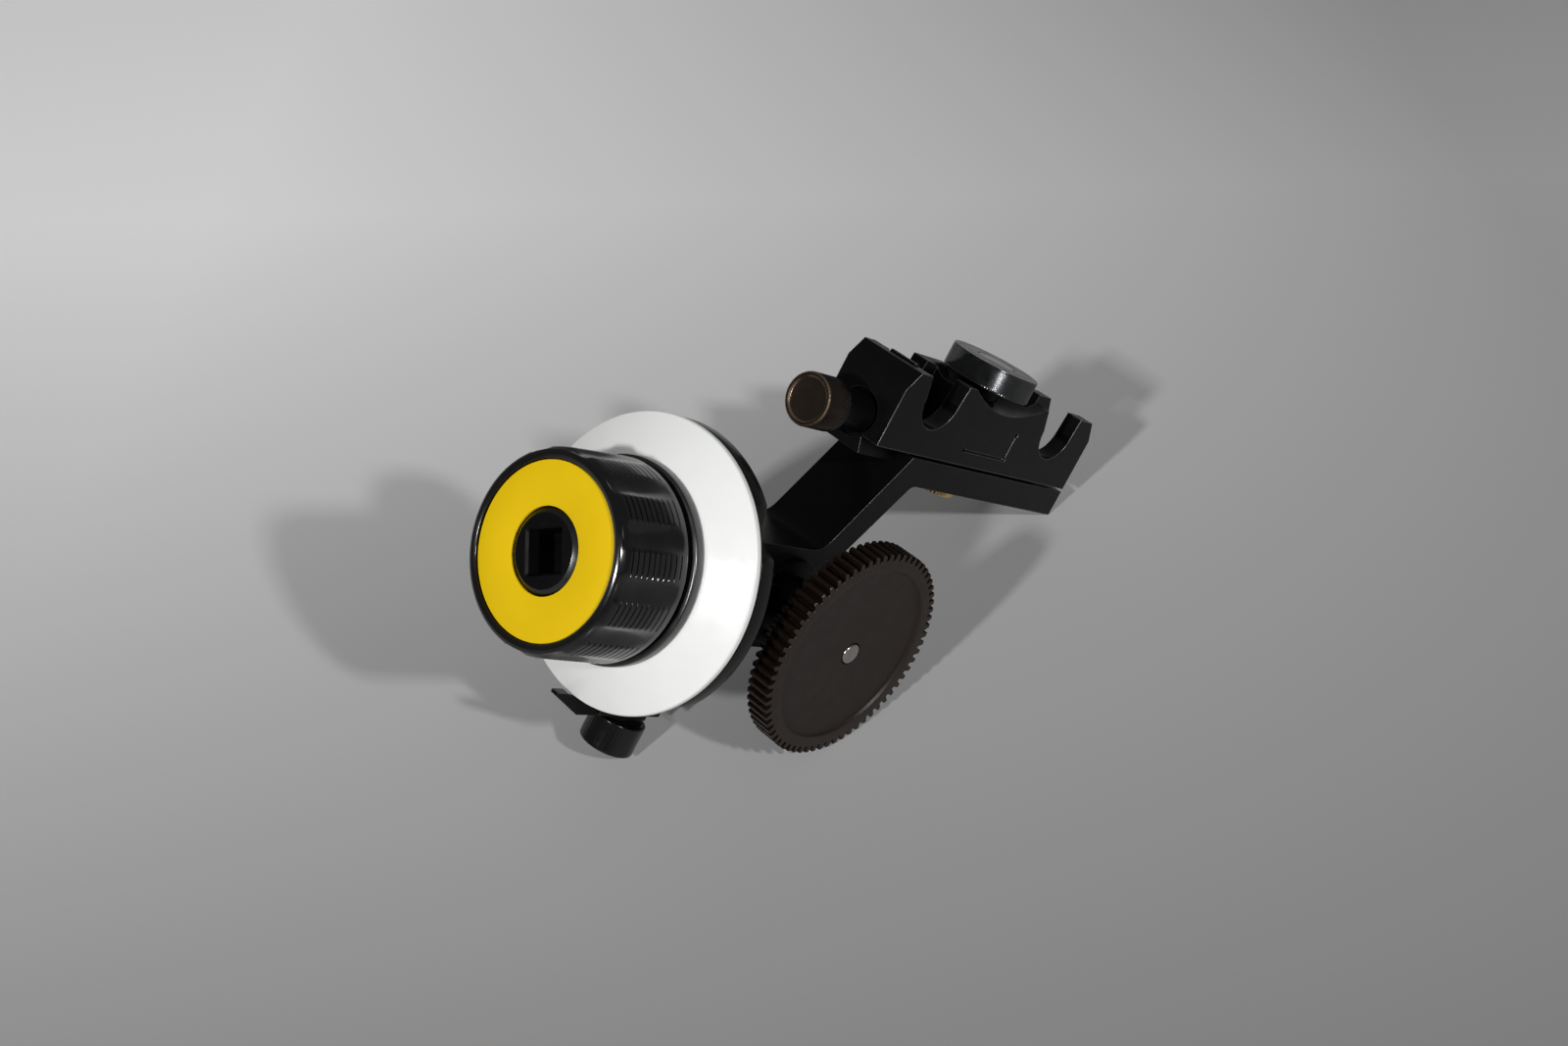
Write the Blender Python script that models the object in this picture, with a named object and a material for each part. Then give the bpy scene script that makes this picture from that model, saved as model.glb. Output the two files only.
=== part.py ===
"""Lens follow focus for paired 15 mm rods, modelled in metres with +Z up.

The origin lies midway between the two rod axes, at the middle of the rod clamp's depth.
+X runs along the hand wheel's shaft, from the wheel towards the clamp, +Y runs along the rods,
and +Z points out of the mouths of the rod slots.
"""

import math

import bmesh
import bpy
from mathutils import Matrix, Vector

# Fits shared by several pieces
seat_gap = 0.0003
side_gap = 0.0004
cutter_reach = 0.002

# Rods and rod clamp
rod_spacing = 0.060
rod_radius = 0.0075
rod_clearance = 0.0001
pad_mouth_half = 0.0097
left_mouth_half = 0.0084
right_mouth_half = 0.0105
hook_mouth_half = 0.0081
block_end_run = 0.0178
block_depth = 0.0206
block_top = 0.0058
block_floor = -0.0150
corner_run = 0.0032
corner_drop = 0.0052
kerf_width = 0.0005
kerf_depth = 0.0010
kerf_left = -0.0105
kerf_right = 0.0104
kerf_low = -0.0110
kerf_high = -0.0036
kerf_eye_radius = 0.0006
channel_half_width = 0.0052
channel_floor = -0.0090
channel_middle_half = 0.0165

# Slide rail under the clamp block
rail_half_top = 0.0049
rail_half_floor = 0.0062
rail_height = 0.0039
rail_end_inset = 0.0078
rail_screw_offset = 0.0220
rail_screw_radius = 0.00145
rail_screw_head_radius = 0.0026
rail_screw_head_height = 0.0016
rail_screw_grip = 0.0040

# Big clamp knob, stud and nut
knob_radius = 0.0124
knob_height = 0.0064
knob_top = 0.0121
knob_chamfer = 0.0006
knob_knurl_depth = 0.00035
knob_knurls = 30
knob_hub_radius = 0.0050
knob_cap_radius = 0.0052
knob_cap_height = 0.0008
dish_floor_radius = 0.0094
dish_rim_radius = 0.0209
dish_curve_radius = 0.0360
dish_steps = 5
knob_washer_height = 0.0006
stud_radius = 0.0030
nut_radius = 0.0066
nut_height = 0.0024

# Bronze thumb screw and rod pad
thumb_height = -0.0106
thumb_reach = 0.0211
thumb_radius = 0.0068
thumb_knurl_depth = 0.0003
thumb_knurls = 20
thumb_knurl_length = 0.0095
thumb_chamfer = 0.0008
thumb_neck_radius = 0.0052
thumb_recess_radius = 0.0063
thumb_recess_depth = 0.0020
thumb_washer_radius = 0.0046
thumb_washer_height = 0.0006
thumb_dimple_radius = 0.0055
thumb_dimple_depth = 0.0004
spindle_radius = 0.0020
spindle_seat_depth = 0.0080
pad_width = 0.0088
pad_thickness = 0.0026
pad_setback = 0.0015
pad_floor = -0.0134
pad_top = 0.0064
pad_crown = 0.0005
pad_lean = 0.0008
pad_travel = 0.0012
pad_nose_height = 0.0004

# Arm and gearbox housing
plate_thickness = 0.0076
arm_thickness = 0.0078
arm_lean_degrees = 31.1
arm_corner = -0.0301
arm_taper = 0.0012
inner_fillet = 0.0030
outer_fillet = 0.0060
carriage_travel = 0.0120
box_top = -0.0450
box_height = 0.0284
box_left_run = 0.0203
box_wall = 0.0025
box_side_wall = 0.0045
cover_thickness = 0.0020
cover_lip = 0.0015
cover_screw_inset = 0.0016
cover_screw_radius = 0.0008
cover_screw_head_radius = 0.0014
cover_screw_head_height = 0.0007
cover_screw_length = 0.0042

# Shafts and bevel gears
shaft_crossing_x = -0.0557
gear_module = 0.0008
bevel_teeth = 16
bevel_face = 0.0026
bevel_tooth_share = 0.40
bevel_tip_share = 0.46
bevel_dedendum_share = 1.25
bevel_addendum_share = 0.85
bevel_hub_length = 0.0011
wheel_bevel_hub_length = 0.0040
bevel_hub_radius = 0.0047
wheel_shaft_radius = 0.0040
wheel_spigot_radius = 0.0024
output_shaft_radius = 0.0027
output_spigot_radius = 0.0024
output_bearing_width = 0.0030
output_bearing_radius = 0.0054
bush_nose_radius = 0.0078
bush_nose_reach = 0.0112
bush_flange_radius = 0.0116
bush_flange_height = 0.0020
bush_spigot_radius = 0.0070
bush_screw_circle = 0.0095
bush_screw_radius = 0.0008
bush_screw_head_radius = 0.0014
bush_screw_head_height = 0.0011
bush_screw_count = 3
bush_screw_turn_degrees = 35.0

# Drive gear
drive_teeth = 68
drive_standoff = 0.0269
drive_width = 0.0068
drive_web_radius = 0.0234
drive_web_recess = 0.0008
drive_tip_share = 0.36
drive_root_share = 0.62
pin_recess = 0.0004
gear_hub_radius = 0.0090
gear_hub_length = 0.0062

# Barrel that carries the wheel shaft
barrel_length = 0.0162
barrel_radius = 0.0100
barrel_plate_thickness = 0.0027
barrel_screw_offset_y = 0.0044
barrel_screw_inset = 0.0024
barrel_screw_radius = 0.00095
barrel_screw_head_radius = 0.0018
barrel_screw_head_height = 0.0013
barrel_screw_grip = 0.0036
wheel_bearing_radius = 0.0079
wheel_bearing_width = 0.0050

# Hand wheel
wheel_length = 0.0222
wheel_rim_radius = 0.0236
wheel_back_radius = 0.0240
wheel_hub_gap = 0.0015
wheel_rim_rounding = 0.0008
wheel_bevel_rise = 0.0010
wheel_bevel_run = 0.0026
wheel_lip_radius = 0.0207
wheel_wall = 0.0032
wheel_web = 0.0040
wheel_boss_radius = 0.0125
wheel_scallops = 12
wheel_scallop_depth = 0.0009
wheel_scallop_share = 0.6
wheel_turn_degrees = 11.0
face_plate_inner_radius = 0.0101
face_plate_outer_radius = 0.0204
face_plate_sink = 0.0008
face_plate_thickness = 0.0007
socket_radius = 0.0098
socket_sink = 0.0006
socket_length = 0.0110
socket_square = 0.0100
socket_depth = 0.0090
socket_mouth_square = 0.0118
socket_mouth_depth = 0.0012
socket_turn_degrees = 56.3

# Hub, marking disc and grip ring
hub_flange_radius = 0.0246
hub_sleeve_run = 0.0101
hub_flange_thickness = 0.0028
hub_sleeve_radius = 0.0140
hub_sleeve_gap = 0.0057
disc_radius = 0.0357
disc_rim_setback = 0.0076
disc_thickness = 0.0022
disc_cone_radius = 0.0250
disc_rounding = 0.0006
ring_inset = 0.0002
ring_width = 0.0047
ring_notches = 4
ring_notch_depth = 0.0028
ring_notch_turn_degrees = 48.0
ring_notch_half_degrees = 10.0
ring_web = 0.0036
spring_radius = 0.0210
spring_thickness = 0.0006
retainer_radius = 0.0170
retainer_thickness = 0.0020

# Index bracket, pointer and lock knob
bracket_half_width = 0.0050
bracket_thickness = 0.0025
bracket_leg_inset = 0.0034
bracket_flange_run = 0.0270
bracket_foot_reach = 0.0165
bracket_foot_drop = 0.0033
bracket_screw_radius = 0.00115
bracket_screw_head_radius = 0.0022
bracket_screw_head_height = 0.0014
bracket_screw_grip = 0.0032
bracket_screw_spacing = 0.0130
pointer_pivot_reach = 0.0023
pointer_half_width = 0.0030
pointer_blade_half_width = 0.0012
pointer_neck_reach = 0.0042
pointer_taper_run = 0.0026
pointer_thickness = 0.0021
pointer_heel = 0.0064
pointer_bend_setback = 0.0049
pointer_rise_setback = 0.0009
pointer_tip_length = 0.0036
pointer_disc_gap = 0.0014
pointer_tip_cover = 0.0003
pointer_tip_height = 0.0009
lock_knob_radius = 0.0071
lock_knob_height = 0.0083
lock_knob_flutes = 14
lock_knob_flute_depth = 0.0004
lock_knob_chamfer = 0.0006
lock_stud_radius = 0.0020
lock_stud_seat = 0.0050
lock_nut_radius = 0.0036
lock_nut_height = 0.0024
lock_nut_sides = 6

# Roundness
fine_segments = 48
medium_segments = 32
small_segments = 20
fastener_segments = 12
slot_arc_steps = 14
fillet_steps = 6

# Sizes worked out from those above
slot_radius = rod_radius + rod_clearance
block_length = rod_spacing + 2.0 * block_end_run
rail_right_end = 0.5 * block_length - rail_end_inset
thumb_face = -0.5 * block_length - thumb_reach
pad_back = -0.5 * rod_spacing - pad_mouth_half - pad_setback
rail_top = block_floor - seat_gap
rail_floor = rail_top - rail_height
plate_top = rail_top - seat_gap - 0.5 * side_gap
plate_floor = plate_top - plate_thickness
half_depth = 0.5 * block_depth
dish_fall = 0.5 * (dish_rim_radius**2 - dish_floor_radius**2) / dish_curve_radius
dish_floor = block_top - dish_fall
box_floor = box_top - box_height
box_left = shaft_crossing_x - box_left_run
shaft_height = box_top - 0.5 * box_height
bush_nose_end = -half_depth - bush_nose_reach
drive_face_y = -half_depth - drive_standoff
barrel_front = box_left - barrel_length
hub_sleeve_end = barrel_front - hub_sleeve_gap
hub_flange_front = hub_sleeve_end - hub_sleeve_run
wheel_back = hub_flange_front - wheel_hub_gap
wheel_rim_front = wheel_back - wheel_length
face_plate_front = wheel_rim_front + face_plate_sink
socket_front = wheel_rim_front + socket_sink
disc_rim_x = hub_flange_front + disc_rim_setback
ring_radius = disc_radius - ring_inset
bracket_leg_left = box_left + bracket_leg_inset
bracket_flange_right = box_left + bracket_flange_run
bracket_foot_left = box_left - bracket_foot_reach
bracket_foot_floor = shaft_height - ring_radius - bracket_foot_drop
pointer_pivot_x = box_left - pointer_pivot_reach
pointer_bend_x = disc_rim_x + pointer_bend_setback
pointer_rise_x = disc_rim_x + pointer_rise_setback
pointer_tip_back_x = disc_rim_x - pointer_disc_gap
pointer_tip_x = pointer_tip_back_x - pointer_tip_length
pointer_tip_top = shaft_height - disc_radius + pointer_tip_cover
drive_pitch_radius = 0.5 * drive_teeth * gear_module
drive_tip_radius = drive_pitch_radius + gear_module
drive_root_radius = drive_pitch_radius - bevel_dedendum_share * gear_module
bevel_radius = 0.5 * bevel_teeth * gear_module
disc_front_inner = hub_flange_front + hub_flange_thickness + seat_gap
ring_front_inner = disc_front_inner + disc_thickness + seat_gap
ring_back_inner = ring_front_inner + ring_web
rotor_bore = hub_sleeve_radius + side_gap
pointer_top = bracket_foot_floor - seat_gap
pointer_floor = pointer_top - pointer_thickness
lock_knob_top = pointer_floor - seat_gap

wheel_axis = Vector((shaft_crossing_x, 0.0, shaft_height))
along_x = Matrix.Rotation(math.radians(90.0), 4, "Y")
along_minus_y = Matrix.Rotation(math.radians(90.0), 4, "X")
upright = Matrix.Identity(4)


def clear_scene():
    for old in list(bpy.data.objects):
        bpy.data.objects.remove(old, do_unlink=True)


def finish(name, colour, roughness, metallic):
    material = bpy.data.materials.new(name)
    material.use_nodes = True
    shader = material.node_tree.nodes["Principled BSDF"]
    shader.inputs["Base Color"].default_value = (*colour, 1.0)
    shader.inputs["Roughness"].default_value = roughness
    shader.inputs["Metallic"].default_value = metallic
    return material


def axis_empty(name, place):
    empty = bpy.data.objects.new(name, None)
    empty.location = place
    empty.empty_display_size = rod_radius
    bpy.context.collection.objects.link(empty)
    return empty


def add_piece(name, vertices, faces, material, turn=upright, parent=None, smooth_degrees=None):
    """Make one closed, outward-facing object whose local frame is turned by `turn`."""
    mesh = bpy.data.meshes.new(name)
    mesh.from_pydata([tuple(point) for point in vertices], [], faces)
    shape = bmesh.new()
    shape.from_mesh(mesh)
    bmesh.ops.recalc_face_normals(shape, faces=shape.faces)
    shape.to_mesh(mesh)
    shape.free()
    if smooth_degrees is not None:
        mesh.shade_smooth()
        mesh.set_sharp_from_angle(angle=math.radians(smooth_degrees))
    piece = bpy.data.objects.new(name, mesh)
    piece.matrix_local = turn
    if parent is not None:
        piece.parent = parent
    if material is not None:
        mesh.materials.append(material)
    bpy.context.collection.objects.link(piece)
    return piece


def turned(name, outline, segments, material, turn=upright, parent=None, reach=None):
    """Turn (radius, height) points round local Z.

    An outline whose ends lie on the axis gives a solid, and any other outline a ring. `reach`
    may change a radius with the column's index and the point's index.
    """
    on_axis = outline[0][0] == 0.0 and outline[-1][0] == 0.0
    rows = outline[1:-1] if on_axis else outline
    vertices = []
    for column in range(segments):
        angle = 2.0 * math.pi * column / segments
        for index, (radius, height) in enumerate(rows):
            if reach is not None:
                radius = reach(column, index, radius)
            vertices.append((radius * math.cos(angle), radius * math.sin(angle), height))
    faces = []
    count = len(rows)
    links = count - 1 if on_axis else count
    for column in range(segments):
        here = column * count
        there = ((column + 1) % segments) * count
        for index in range(links):
            after = (index + 1) % count
            faces.append((here + index, there + index, there + after, here + after))
    if on_axis:
        first = len(vertices)
        vertices.append((0.0, 0.0, outline[0][1]))
        vertices.append((0.0, 0.0, outline[-1][1]))
        for column in range(segments):
            here = column * count
            there = ((column + 1) % segments) * count
            faces.append((first, there, here))
            faces.append((first + 1, here + count - 1, there + count - 1))
    return add_piece(name, vertices, faces, material, turn, parent, smooth_degrees=35.0)


def extruded(name, outline, low, high, material, turn=upright, parent=None):
    """Raise a flat outline of (x, y) points from `low` to `high` along local Z."""
    count = len(outline)
    vertices = [(x, y, low) for x, y in outline] + [(x, y, high) for x, y in outline]
    faces = [tuple(range(count)), tuple(range(count, 2 * count))]
    for index in range(count):
        after = (index + 1) % count
        faces.append((index, after, count + after, count + index))
    return add_piece(name, vertices, faces, material, turn, parent)


def side_outline_piece(name, outline, near, far, material, parent=None):
    """Extrude an outline of (x, z) points from y = near to y = far."""
    return extruded(name, outline, -far, -near, material, along_minus_y, parent)


def box_piece(name, low, high, material=None):
    (x0, y0, z0), (x1, y1, z1) = low, high
    outline = [(x0, y0), (x1, y0), (x1, y1), (x0, y1)]
    return extruded(name, outline, z0, z1, material)


def rod(name, radius, start, end, turn=upright, parent=None, segments=fastener_segments, material=None):
    outline = [(0.0, start), (radius, start), (radius, end), (0.0, end)]
    return turned(name, outline, segments, material, turn, parent)


def hide_cutter(cutter):
    cutter.hide_render = True
    cutter.display_type = "WIRE"
    return cutter


def cut(piece, cutters):
    for cutter in cutters:
        hide_cutter(cutter)
        modifier = piece.modifiers.new("Cut " + cutter.name, "BOOLEAN")
        modifier.operation = "DIFFERENCE"
        modifier.solver = "EXACT"
        modifier.object = cutter


def moved(piece, place):
    piece.location = piece.location + Vector(place)
    return piece


def arc(centre, radius, start, end, steps):
    """Points of a circular arc between two angles in degrees, both ends included."""
    points = []
    for step in range(steps + 1):
        angle = math.radians(start + (end - start) * step / steps)
        points.append((centre[0] + radius * math.cos(angle), centre[1] + radius * math.sin(angle)))
    return points


def rounded_corner(before, corner, after, radius, steps):
    """Arc that rounds an outline's corner and touches both of its sides."""
    corner = Vector(corner)
    to_before = (Vector(before) - corner).normalized()
    to_after = (Vector(after) - corner).normalized()
    half = 0.5 * to_before.angle(to_after)
    inward = (to_before + to_after).normalized()
    centre = corner + inward * (radius / math.sin(half))
    touch = radius / math.tan(half)
    first = corner + to_before * touch - centre
    last = corner + to_after * touch - centre
    start = math.atan2(first.y, first.x)
    sweep = math.atan2(last.y, last.x) - start
    sweep = (sweep + math.pi) % (2.0 * math.pi) - math.pi
    points = []
    for step in range(steps + 1):
        angle = start + sweep * step / steps
        points.append((centre.x + radius * math.cos(angle), centre.y + radius * math.sin(angle)))
    return points


# Finishes
black_metal = finish("black_anodised", (0.018, 0.018, 0.020), 0.38, 0.6)
black_plastic = finish("black_gloss", (0.012, 0.012, 0.013), 0.25, 0.0)
dark_steel = finish("dark_plated_steel", (0.16, 0.17, 0.18), 0.30, 1.0)
bronze = finish("dark_bronze", (0.17, 0.13, 0.10), 0.32, 1.0)
steel = finish("bright_steel", (0.62, 0.61, 0.58), 0.30, 1.0)
brass = finish("brass", (0.65, 0.52, 0.28), 0.35, 1.0)
gear_brown = finish("gear_brown", (0.050, 0.030, 0.022), 0.40, 0.1)
white_plastic = finish("white_plastic", (0.80, 0.81, 0.80), 0.28, 0.0)
yellow_plate = finish("yellow_plate", (0.85, 0.62, 0.01), 0.45, 0.0)


def slot_outline(centre_x, left_half, right_half):
    """One rod slot, walked from its left lip down, round the rod and up to its right lip."""
    return (
        [(centre_x - left_half, block_top)]
        + arc((centre_x, 0.0), slot_radius, 180.0, 360.0, slot_arc_steps)
        + [(centre_x + right_half, block_top)]
    )


def clamp_block():
    half = 0.5 * block_length
    half_spacing = 0.5 * rod_spacing
    outline = [(-half, block_floor), (-half, block_top - corner_drop), (-half + corner_run, block_top)]
    outline += slot_outline(-half_spacing, pad_mouth_half, left_mouth_half)
    outline += slot_outline(half_spacing, right_mouth_half, hook_mouth_half)
    outline += [(half - corner_run, block_top), (half, block_top - corner_drop), (half, block_floor)]
    block = side_outline_piece("clamp_block", outline, -half_depth, half_depth, black_metal)

    dish = dish_cutter()
    near = -half_depth - cutter_reach
    kerf_back = -half_depth + kerf_depth
    kerf_long = box_piece(
        "kerf_long_cutter", (kerf_left, near, kerf_low), (kerf_right, kerf_back, kerf_low + kerf_width)
    )
    kerf_short = box_piece(
        "kerf_short_cutter",
        (kerf_right - kerf_width, near, kerf_low + 0.5 * kerf_width),
        (kerf_right, kerf_back, kerf_high),
    )
    eyes = []
    eye_places = [(kerf_left, kerf_low), (kerf_right, kerf_low), (kerf_right, kerf_high)]
    for number, (x, z) in enumerate(eye_places, start=1):
        eye = rod(
            f"kerf_eye_{number}_cutter", kerf_eye_radius, -kerf_back, -near, along_minus_y
        )
        eyes.append(moved(eye, (x, 0.0, z + 0.5 * kerf_width)))
    cut(block, [dish, kerf_long, kerf_short] + eyes)
    cut(block, [thumb_recess_cutter("block"), spindle_bore_cutter()] + channel_cutters())
    for side in (-1, 1):
        hole = rod(
            f"rail_screw_hole_{side}_cutter",
            rail_screw_radius + seat_gap,
            block_floor - cutter_reach,
            block_floor + rail_screw_grip + side_gap,
        )
        cut(block, [moved(hole, (side * rail_screw_offset, 0.0, 0.0))])
    return block


def dish_cutter():
    """Stud bore and the round dish over it, curved like a shallow bowl outside its flat floor."""
    bore = stud_radius + seat_gap
    below = block_floor - cutter_reach
    outline = [(0.0, below), (bore, below), (bore, dish_floor)]
    for step in range(dish_steps + 1):
        radius = dish_floor_radius + (dish_rim_radius - dish_floor_radius) * step / dish_steps
        rise = 0.5 * (radius**2 - dish_floor_radius**2) / dish_curve_radius
        outline.append((radius, dish_floor + rise))
    outline.append((dish_rim_radius, block_top + cutter_reach))
    outline.append((0.0, block_top + cutter_reach))
    return turned("dish_cutter", outline, fine_segments, None)


def channel_cutters():
    """Milled channel along the block, deeper behind the rod pad and broken at the block's middle."""
    top = block_top + cutter_reach
    pocket_left = pad_back - side_gap
    pocket_right = pad_back + pad_thickness + pad_travel + side_gap
    pocket_floor = pad_floor - side_gap
    left_outline = [
        (pocket_left, top),
        (pocket_left, pocket_floor),
        (pocket_right, pocket_floor),
        (pocket_right, channel_floor),
        (-channel_middle_half, channel_floor),
        (-channel_middle_half, top),
    ]
    end = 0.5 * block_length + cutter_reach
    low = (channel_middle_half, -channel_half_width, channel_floor)
    left = side_outline_piece(
        "channel_left_cutter", left_outline, -channel_half_width, channel_half_width, None
    )
    return [left, box_piece("channel_right_cutter", low, (end, channel_half_width, top))]


def thumb_recess_cutter(owner):
    start = -0.5 * block_length - cutter_reach
    end = -0.5 * block_length + thumb_recess_depth
    cutter = rod(
        f"thumb_recess_{owner}_cutter", thumb_recess_radius, start, end, along_x, segments=medium_segments
    )
    return moved(cutter, (0.0, 0.0, thumb_height))


def spindle_bore_cutter():
    start = -0.5 * block_length
    cutter = rod("spindle_bore_cutter", spindle_radius + seat_gap, start, pad_back, along_x)
    return moved(cutter, (0.0, 0.0, thumb_height))


def dovetail(name, half_top, half_floor, top, floor, left, right, material):
    outline = [(-half_floor, floor), (half_floor, floor), (half_top, top), (-half_top, top)]
    vertices = [(left, y, z) for y, z in outline] + [(right, y, z) for y, z in outline]
    faces = [(0, 1, 2, 3), (4, 5, 6, 7), (0, 1, 5, 4), (1, 2, 6, 5), (2, 3, 7, 6), (3, 0, 4, 7)]
    return add_piece(name, vertices, faces, material)


def slide_rail():
    rail = dovetail(
        "slide_rail",
        rail_half_top,
        rail_half_floor,
        rail_top,
        rail_floor,
        -0.5 * block_length,
        rail_right_end,
        dark_steel,
    )
    stud_hole = rod(
        "rail_stud_cutter", stud_radius + seat_gap, rail_floor - cutter_reach, rail_top + cutter_reach
    )
    cut(rail, [stud_hole, thumb_recess_cutter("rail")])
    head_top = rail_floor + rail_screw_head_height + 2.0 * seat_gap
    for side in (-1, 1):
        hole = turned(
            f"rail_screw_{side}_cutter",
            [
                (0.0, rail_floor - cutter_reach),
                (rail_screw_head_radius + seat_gap, rail_floor - cutter_reach),
                (rail_screw_head_radius + seat_gap, head_top),
                (rail_screw_radius + seat_gap, head_top),
                (rail_screw_radius + seat_gap, rail_top + cutter_reach),
                (0.0, rail_top + cutter_reach),
            ],
            fastener_segments,
            None,
        )
        cut(rail, [moved(hole, (side * rail_screw_offset, 0.0, 0.0))])
        head_floor = rail_floor + seat_gap
        screw = turned(
            "rail_screw_left" if side < 0 else "rail_screw_right",
            [
                (0.0, head_floor),
                (rail_screw_head_radius, head_floor),
                (rail_screw_head_radius, head_floor + rail_screw_head_height),
                (rail_screw_radius, head_floor + rail_screw_head_height),
                (rail_screw_radius, block_floor + rail_screw_grip),
                (0.0, block_floor + rail_screw_grip),
            ],
            fastener_segments,
            steel,
        )
        moved(screw, (side * rail_screw_offset, 0.0, 0.0))


def clamp_knob():
    knob_axis = axis_empty("clamp_knob_axis", (0.0, 0.0, 0.0))
    floor = knob_top - knob_height
    washer_top = dish_floor + seat_gap + knob_washer_height
    hub_floor = washer_top + seat_gap
    bore = stud_radius + seat_gap
    cap_floor = knob_top - knob_cap_height - seat_gap
    knurled = {3, 4}

    def knurl(column, index, radius):
        return radius - knob_knurl_depth if index in knurled and column % 2 else radius

    turned(
        "clamp_knob",
        [
            (bore, hub_floor),
            (knob_hub_radius, hub_floor),
            (knob_hub_radius, floor),
            (knob_radius, floor),
            (knob_radius, knob_top - knob_chamfer),
            (knob_radius - 2.0 * knob_chamfer, knob_top),
            (knob_cap_radius + seat_gap, knob_top),
            (knob_cap_radius + seat_gap, cap_floor),
            (bore, cap_floor),
        ],
        2 * knob_knurls,
        dark_steel,
        parent=knob_axis,
        reach=knurl,
    )
    rod(
        "clamp_knob_cap",
        knob_cap_radius,
        knob_top - knob_cap_height,
        knob_top,
        parent=knob_axis,
        segments=medium_segments,
        material=steel,
    )
    nut_floor = plate_floor - seat_gap - nut_height
    rod(
        "clamp_stud",
        stud_radius,
        nut_floor + seat_gap,
        cap_floor,
        parent=knob_axis,
        material=steel,
    )
    turned(
        "knob_washer",
        [
            (bore, dish_floor + seat_gap),
            (knob_hub_radius, dish_floor + seat_gap),
            (knob_hub_radius, washer_top),
            (bore, washer_top),
        ],
        medium_segments,
        dark_steel,
    )
    nut_top = plate_floor - seat_gap
    turned(
        "clamp_nut",
        [
            (bore, nut_floor),
            (nut_radius - knob_chamfer, nut_floor),
            (nut_radius, nut_floor + knob_chamfer),
            (nut_radius, nut_top),
            (bore, nut_top),
        ],
        medium_segments,
        brass,
        parent=axis_empty("clamp_nut_axis", (0.0, 0.0, 0.0)),
    )


def thumb_screw():
    thumb_axis = axis_empty("thumb_screw_axis", (0.0, 0.0, thumb_height))
    recess_floor = -0.5 * block_length + thumb_recess_depth
    neck_end = recess_floor - thumb_washer_height - 2.0 * seat_gap
    band_end = thumb_face + thumb_knurl_length
    seat = neck_end - spindle_seat_depth
    bore = spindle_radius + seat_gap
    knurled = {3, 4}

    def knurl(column, index, radius):
        return radius - thumb_knurl_depth if index in knurled and column % 2 else radius

    turned(
        "thumb_knob",
        [
            (0.0, thumb_face + thumb_dimple_depth),
            (thumb_dimple_radius, thumb_face + thumb_dimple_depth),
            (thumb_dimple_radius + thumb_dimple_depth, thumb_face),
            (thumb_radius - thumb_chamfer, thumb_face),
            (thumb_radius, thumb_face + thumb_chamfer),
            (thumb_radius, band_end - thumb_chamfer),
            (thumb_neck_radius, band_end),
            (thumb_neck_radius, neck_end),
            (bore, neck_end),
            (bore, seat),
            (0.0, seat),
        ],
        2 * thumb_knurls,
        bronze,
        along_x,
        thumb_axis,
        knurl,
    )
    spindle_tip = pad_back + pad_thickness + pad_travel
    rod(
        "thumb_spindle",
        spindle_radius,
        seat + seat_gap,
        spindle_tip - seat_gap,
        along_x,
        thumb_axis,
        material=steel,
    )
    washer = turned(
        "thumb_washer",
        [
            (bore, neck_end + seat_gap),
            (thumb_washer_radius, neck_end + seat_gap),
            (thumb_washer_radius, recess_floor - seat_gap),
            (bore, recess_floor - seat_gap),
        ],
        small_segments,
        brass,
        along_x,
    )
    moved(washer, (0.0, 0.0, thumb_height))


def rod_pad():
    front = pad_back + pad_thickness
    wall_lean = pad_mouth_half - slot_radius
    outline = [
        (pad_back, pad_floor),
        (front, pad_floor),
        (front, -pad_nose_height),
        (front + pad_crown, pad_nose_height),
        (front + pad_crown - wall_lean + pad_lean, block_top),
        (front - wall_lean + pad_lean, pad_top),
        (pad_back, pad_top),
    ]
    near = -channel_half_width + seat_gap
    pad = side_outline_piece(
        "rod_pad",
        outline,
        near,
        near + pad_width,
        black_metal,
        axis_empty("rod_pad_axis", (0.0, 0.0, 0.0)),
    )
    bore = rod(
        "pad_bore_cutter", spindle_radius + seat_gap, pad_back - cutter_reach, front + cutter_reach, along_x
    )
    cut(pad, [moved(bore, (0.0, 0.0, thumb_height))])


def arm_outline():
    """Outline of the arm and the gear box in the plane square to the rods."""
    right = 0.5 * block_length
    slope = math.tan(math.radians(arm_lean_degrees))
    shift = arm_thickness / math.cos(math.radians(arm_lean_degrees))
    outer_top = (arm_corner, plate_top)
    outer_foot = (arm_corner - (plate_top - box_top) * slope, box_top)
    inner_top = (arm_corner - (plate_top - plate_floor) * slope + shift + arm_taper, plate_floor)
    inner_foot = (arm_corner - (plate_top - box_top) * slope + shift, box_top)
    outline = [(right, plate_top), outer_top]
    outline += rounded_corner(outer_top, outer_foot, (box_left, box_top), outer_fillet, fillet_steps)
    outline += [(box_left, box_top), (box_left, box_floor), (inner_foot[0], box_floor), inner_foot]
    outline += rounded_corner(inner_foot, inner_top, (right, plate_floor), inner_fillet, fillet_steps)
    outline += [(right, plate_floor)]
    return outline


def housing_right():
    slope = math.tan(math.radians(arm_lean_degrees))
    shift = arm_thickness / math.cos(math.radians(arm_lean_degrees))
    return arm_corner - (plate_top - box_top) * slope + shift


def cover_corners():
    left = box_left + cover_lip + cover_screw_inset
    right = housing_right() - cover_lip - cover_screw_inset
    top = box_top - cover_lip - cover_screw_inset
    floor = box_floor + cover_lip + cover_screw_inset
    return {
        "left_top": (left, top),
        "right_top": (right, top),
        "left_floor": (left, floor),
        "right_floor": (right, floor),
    }


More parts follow.
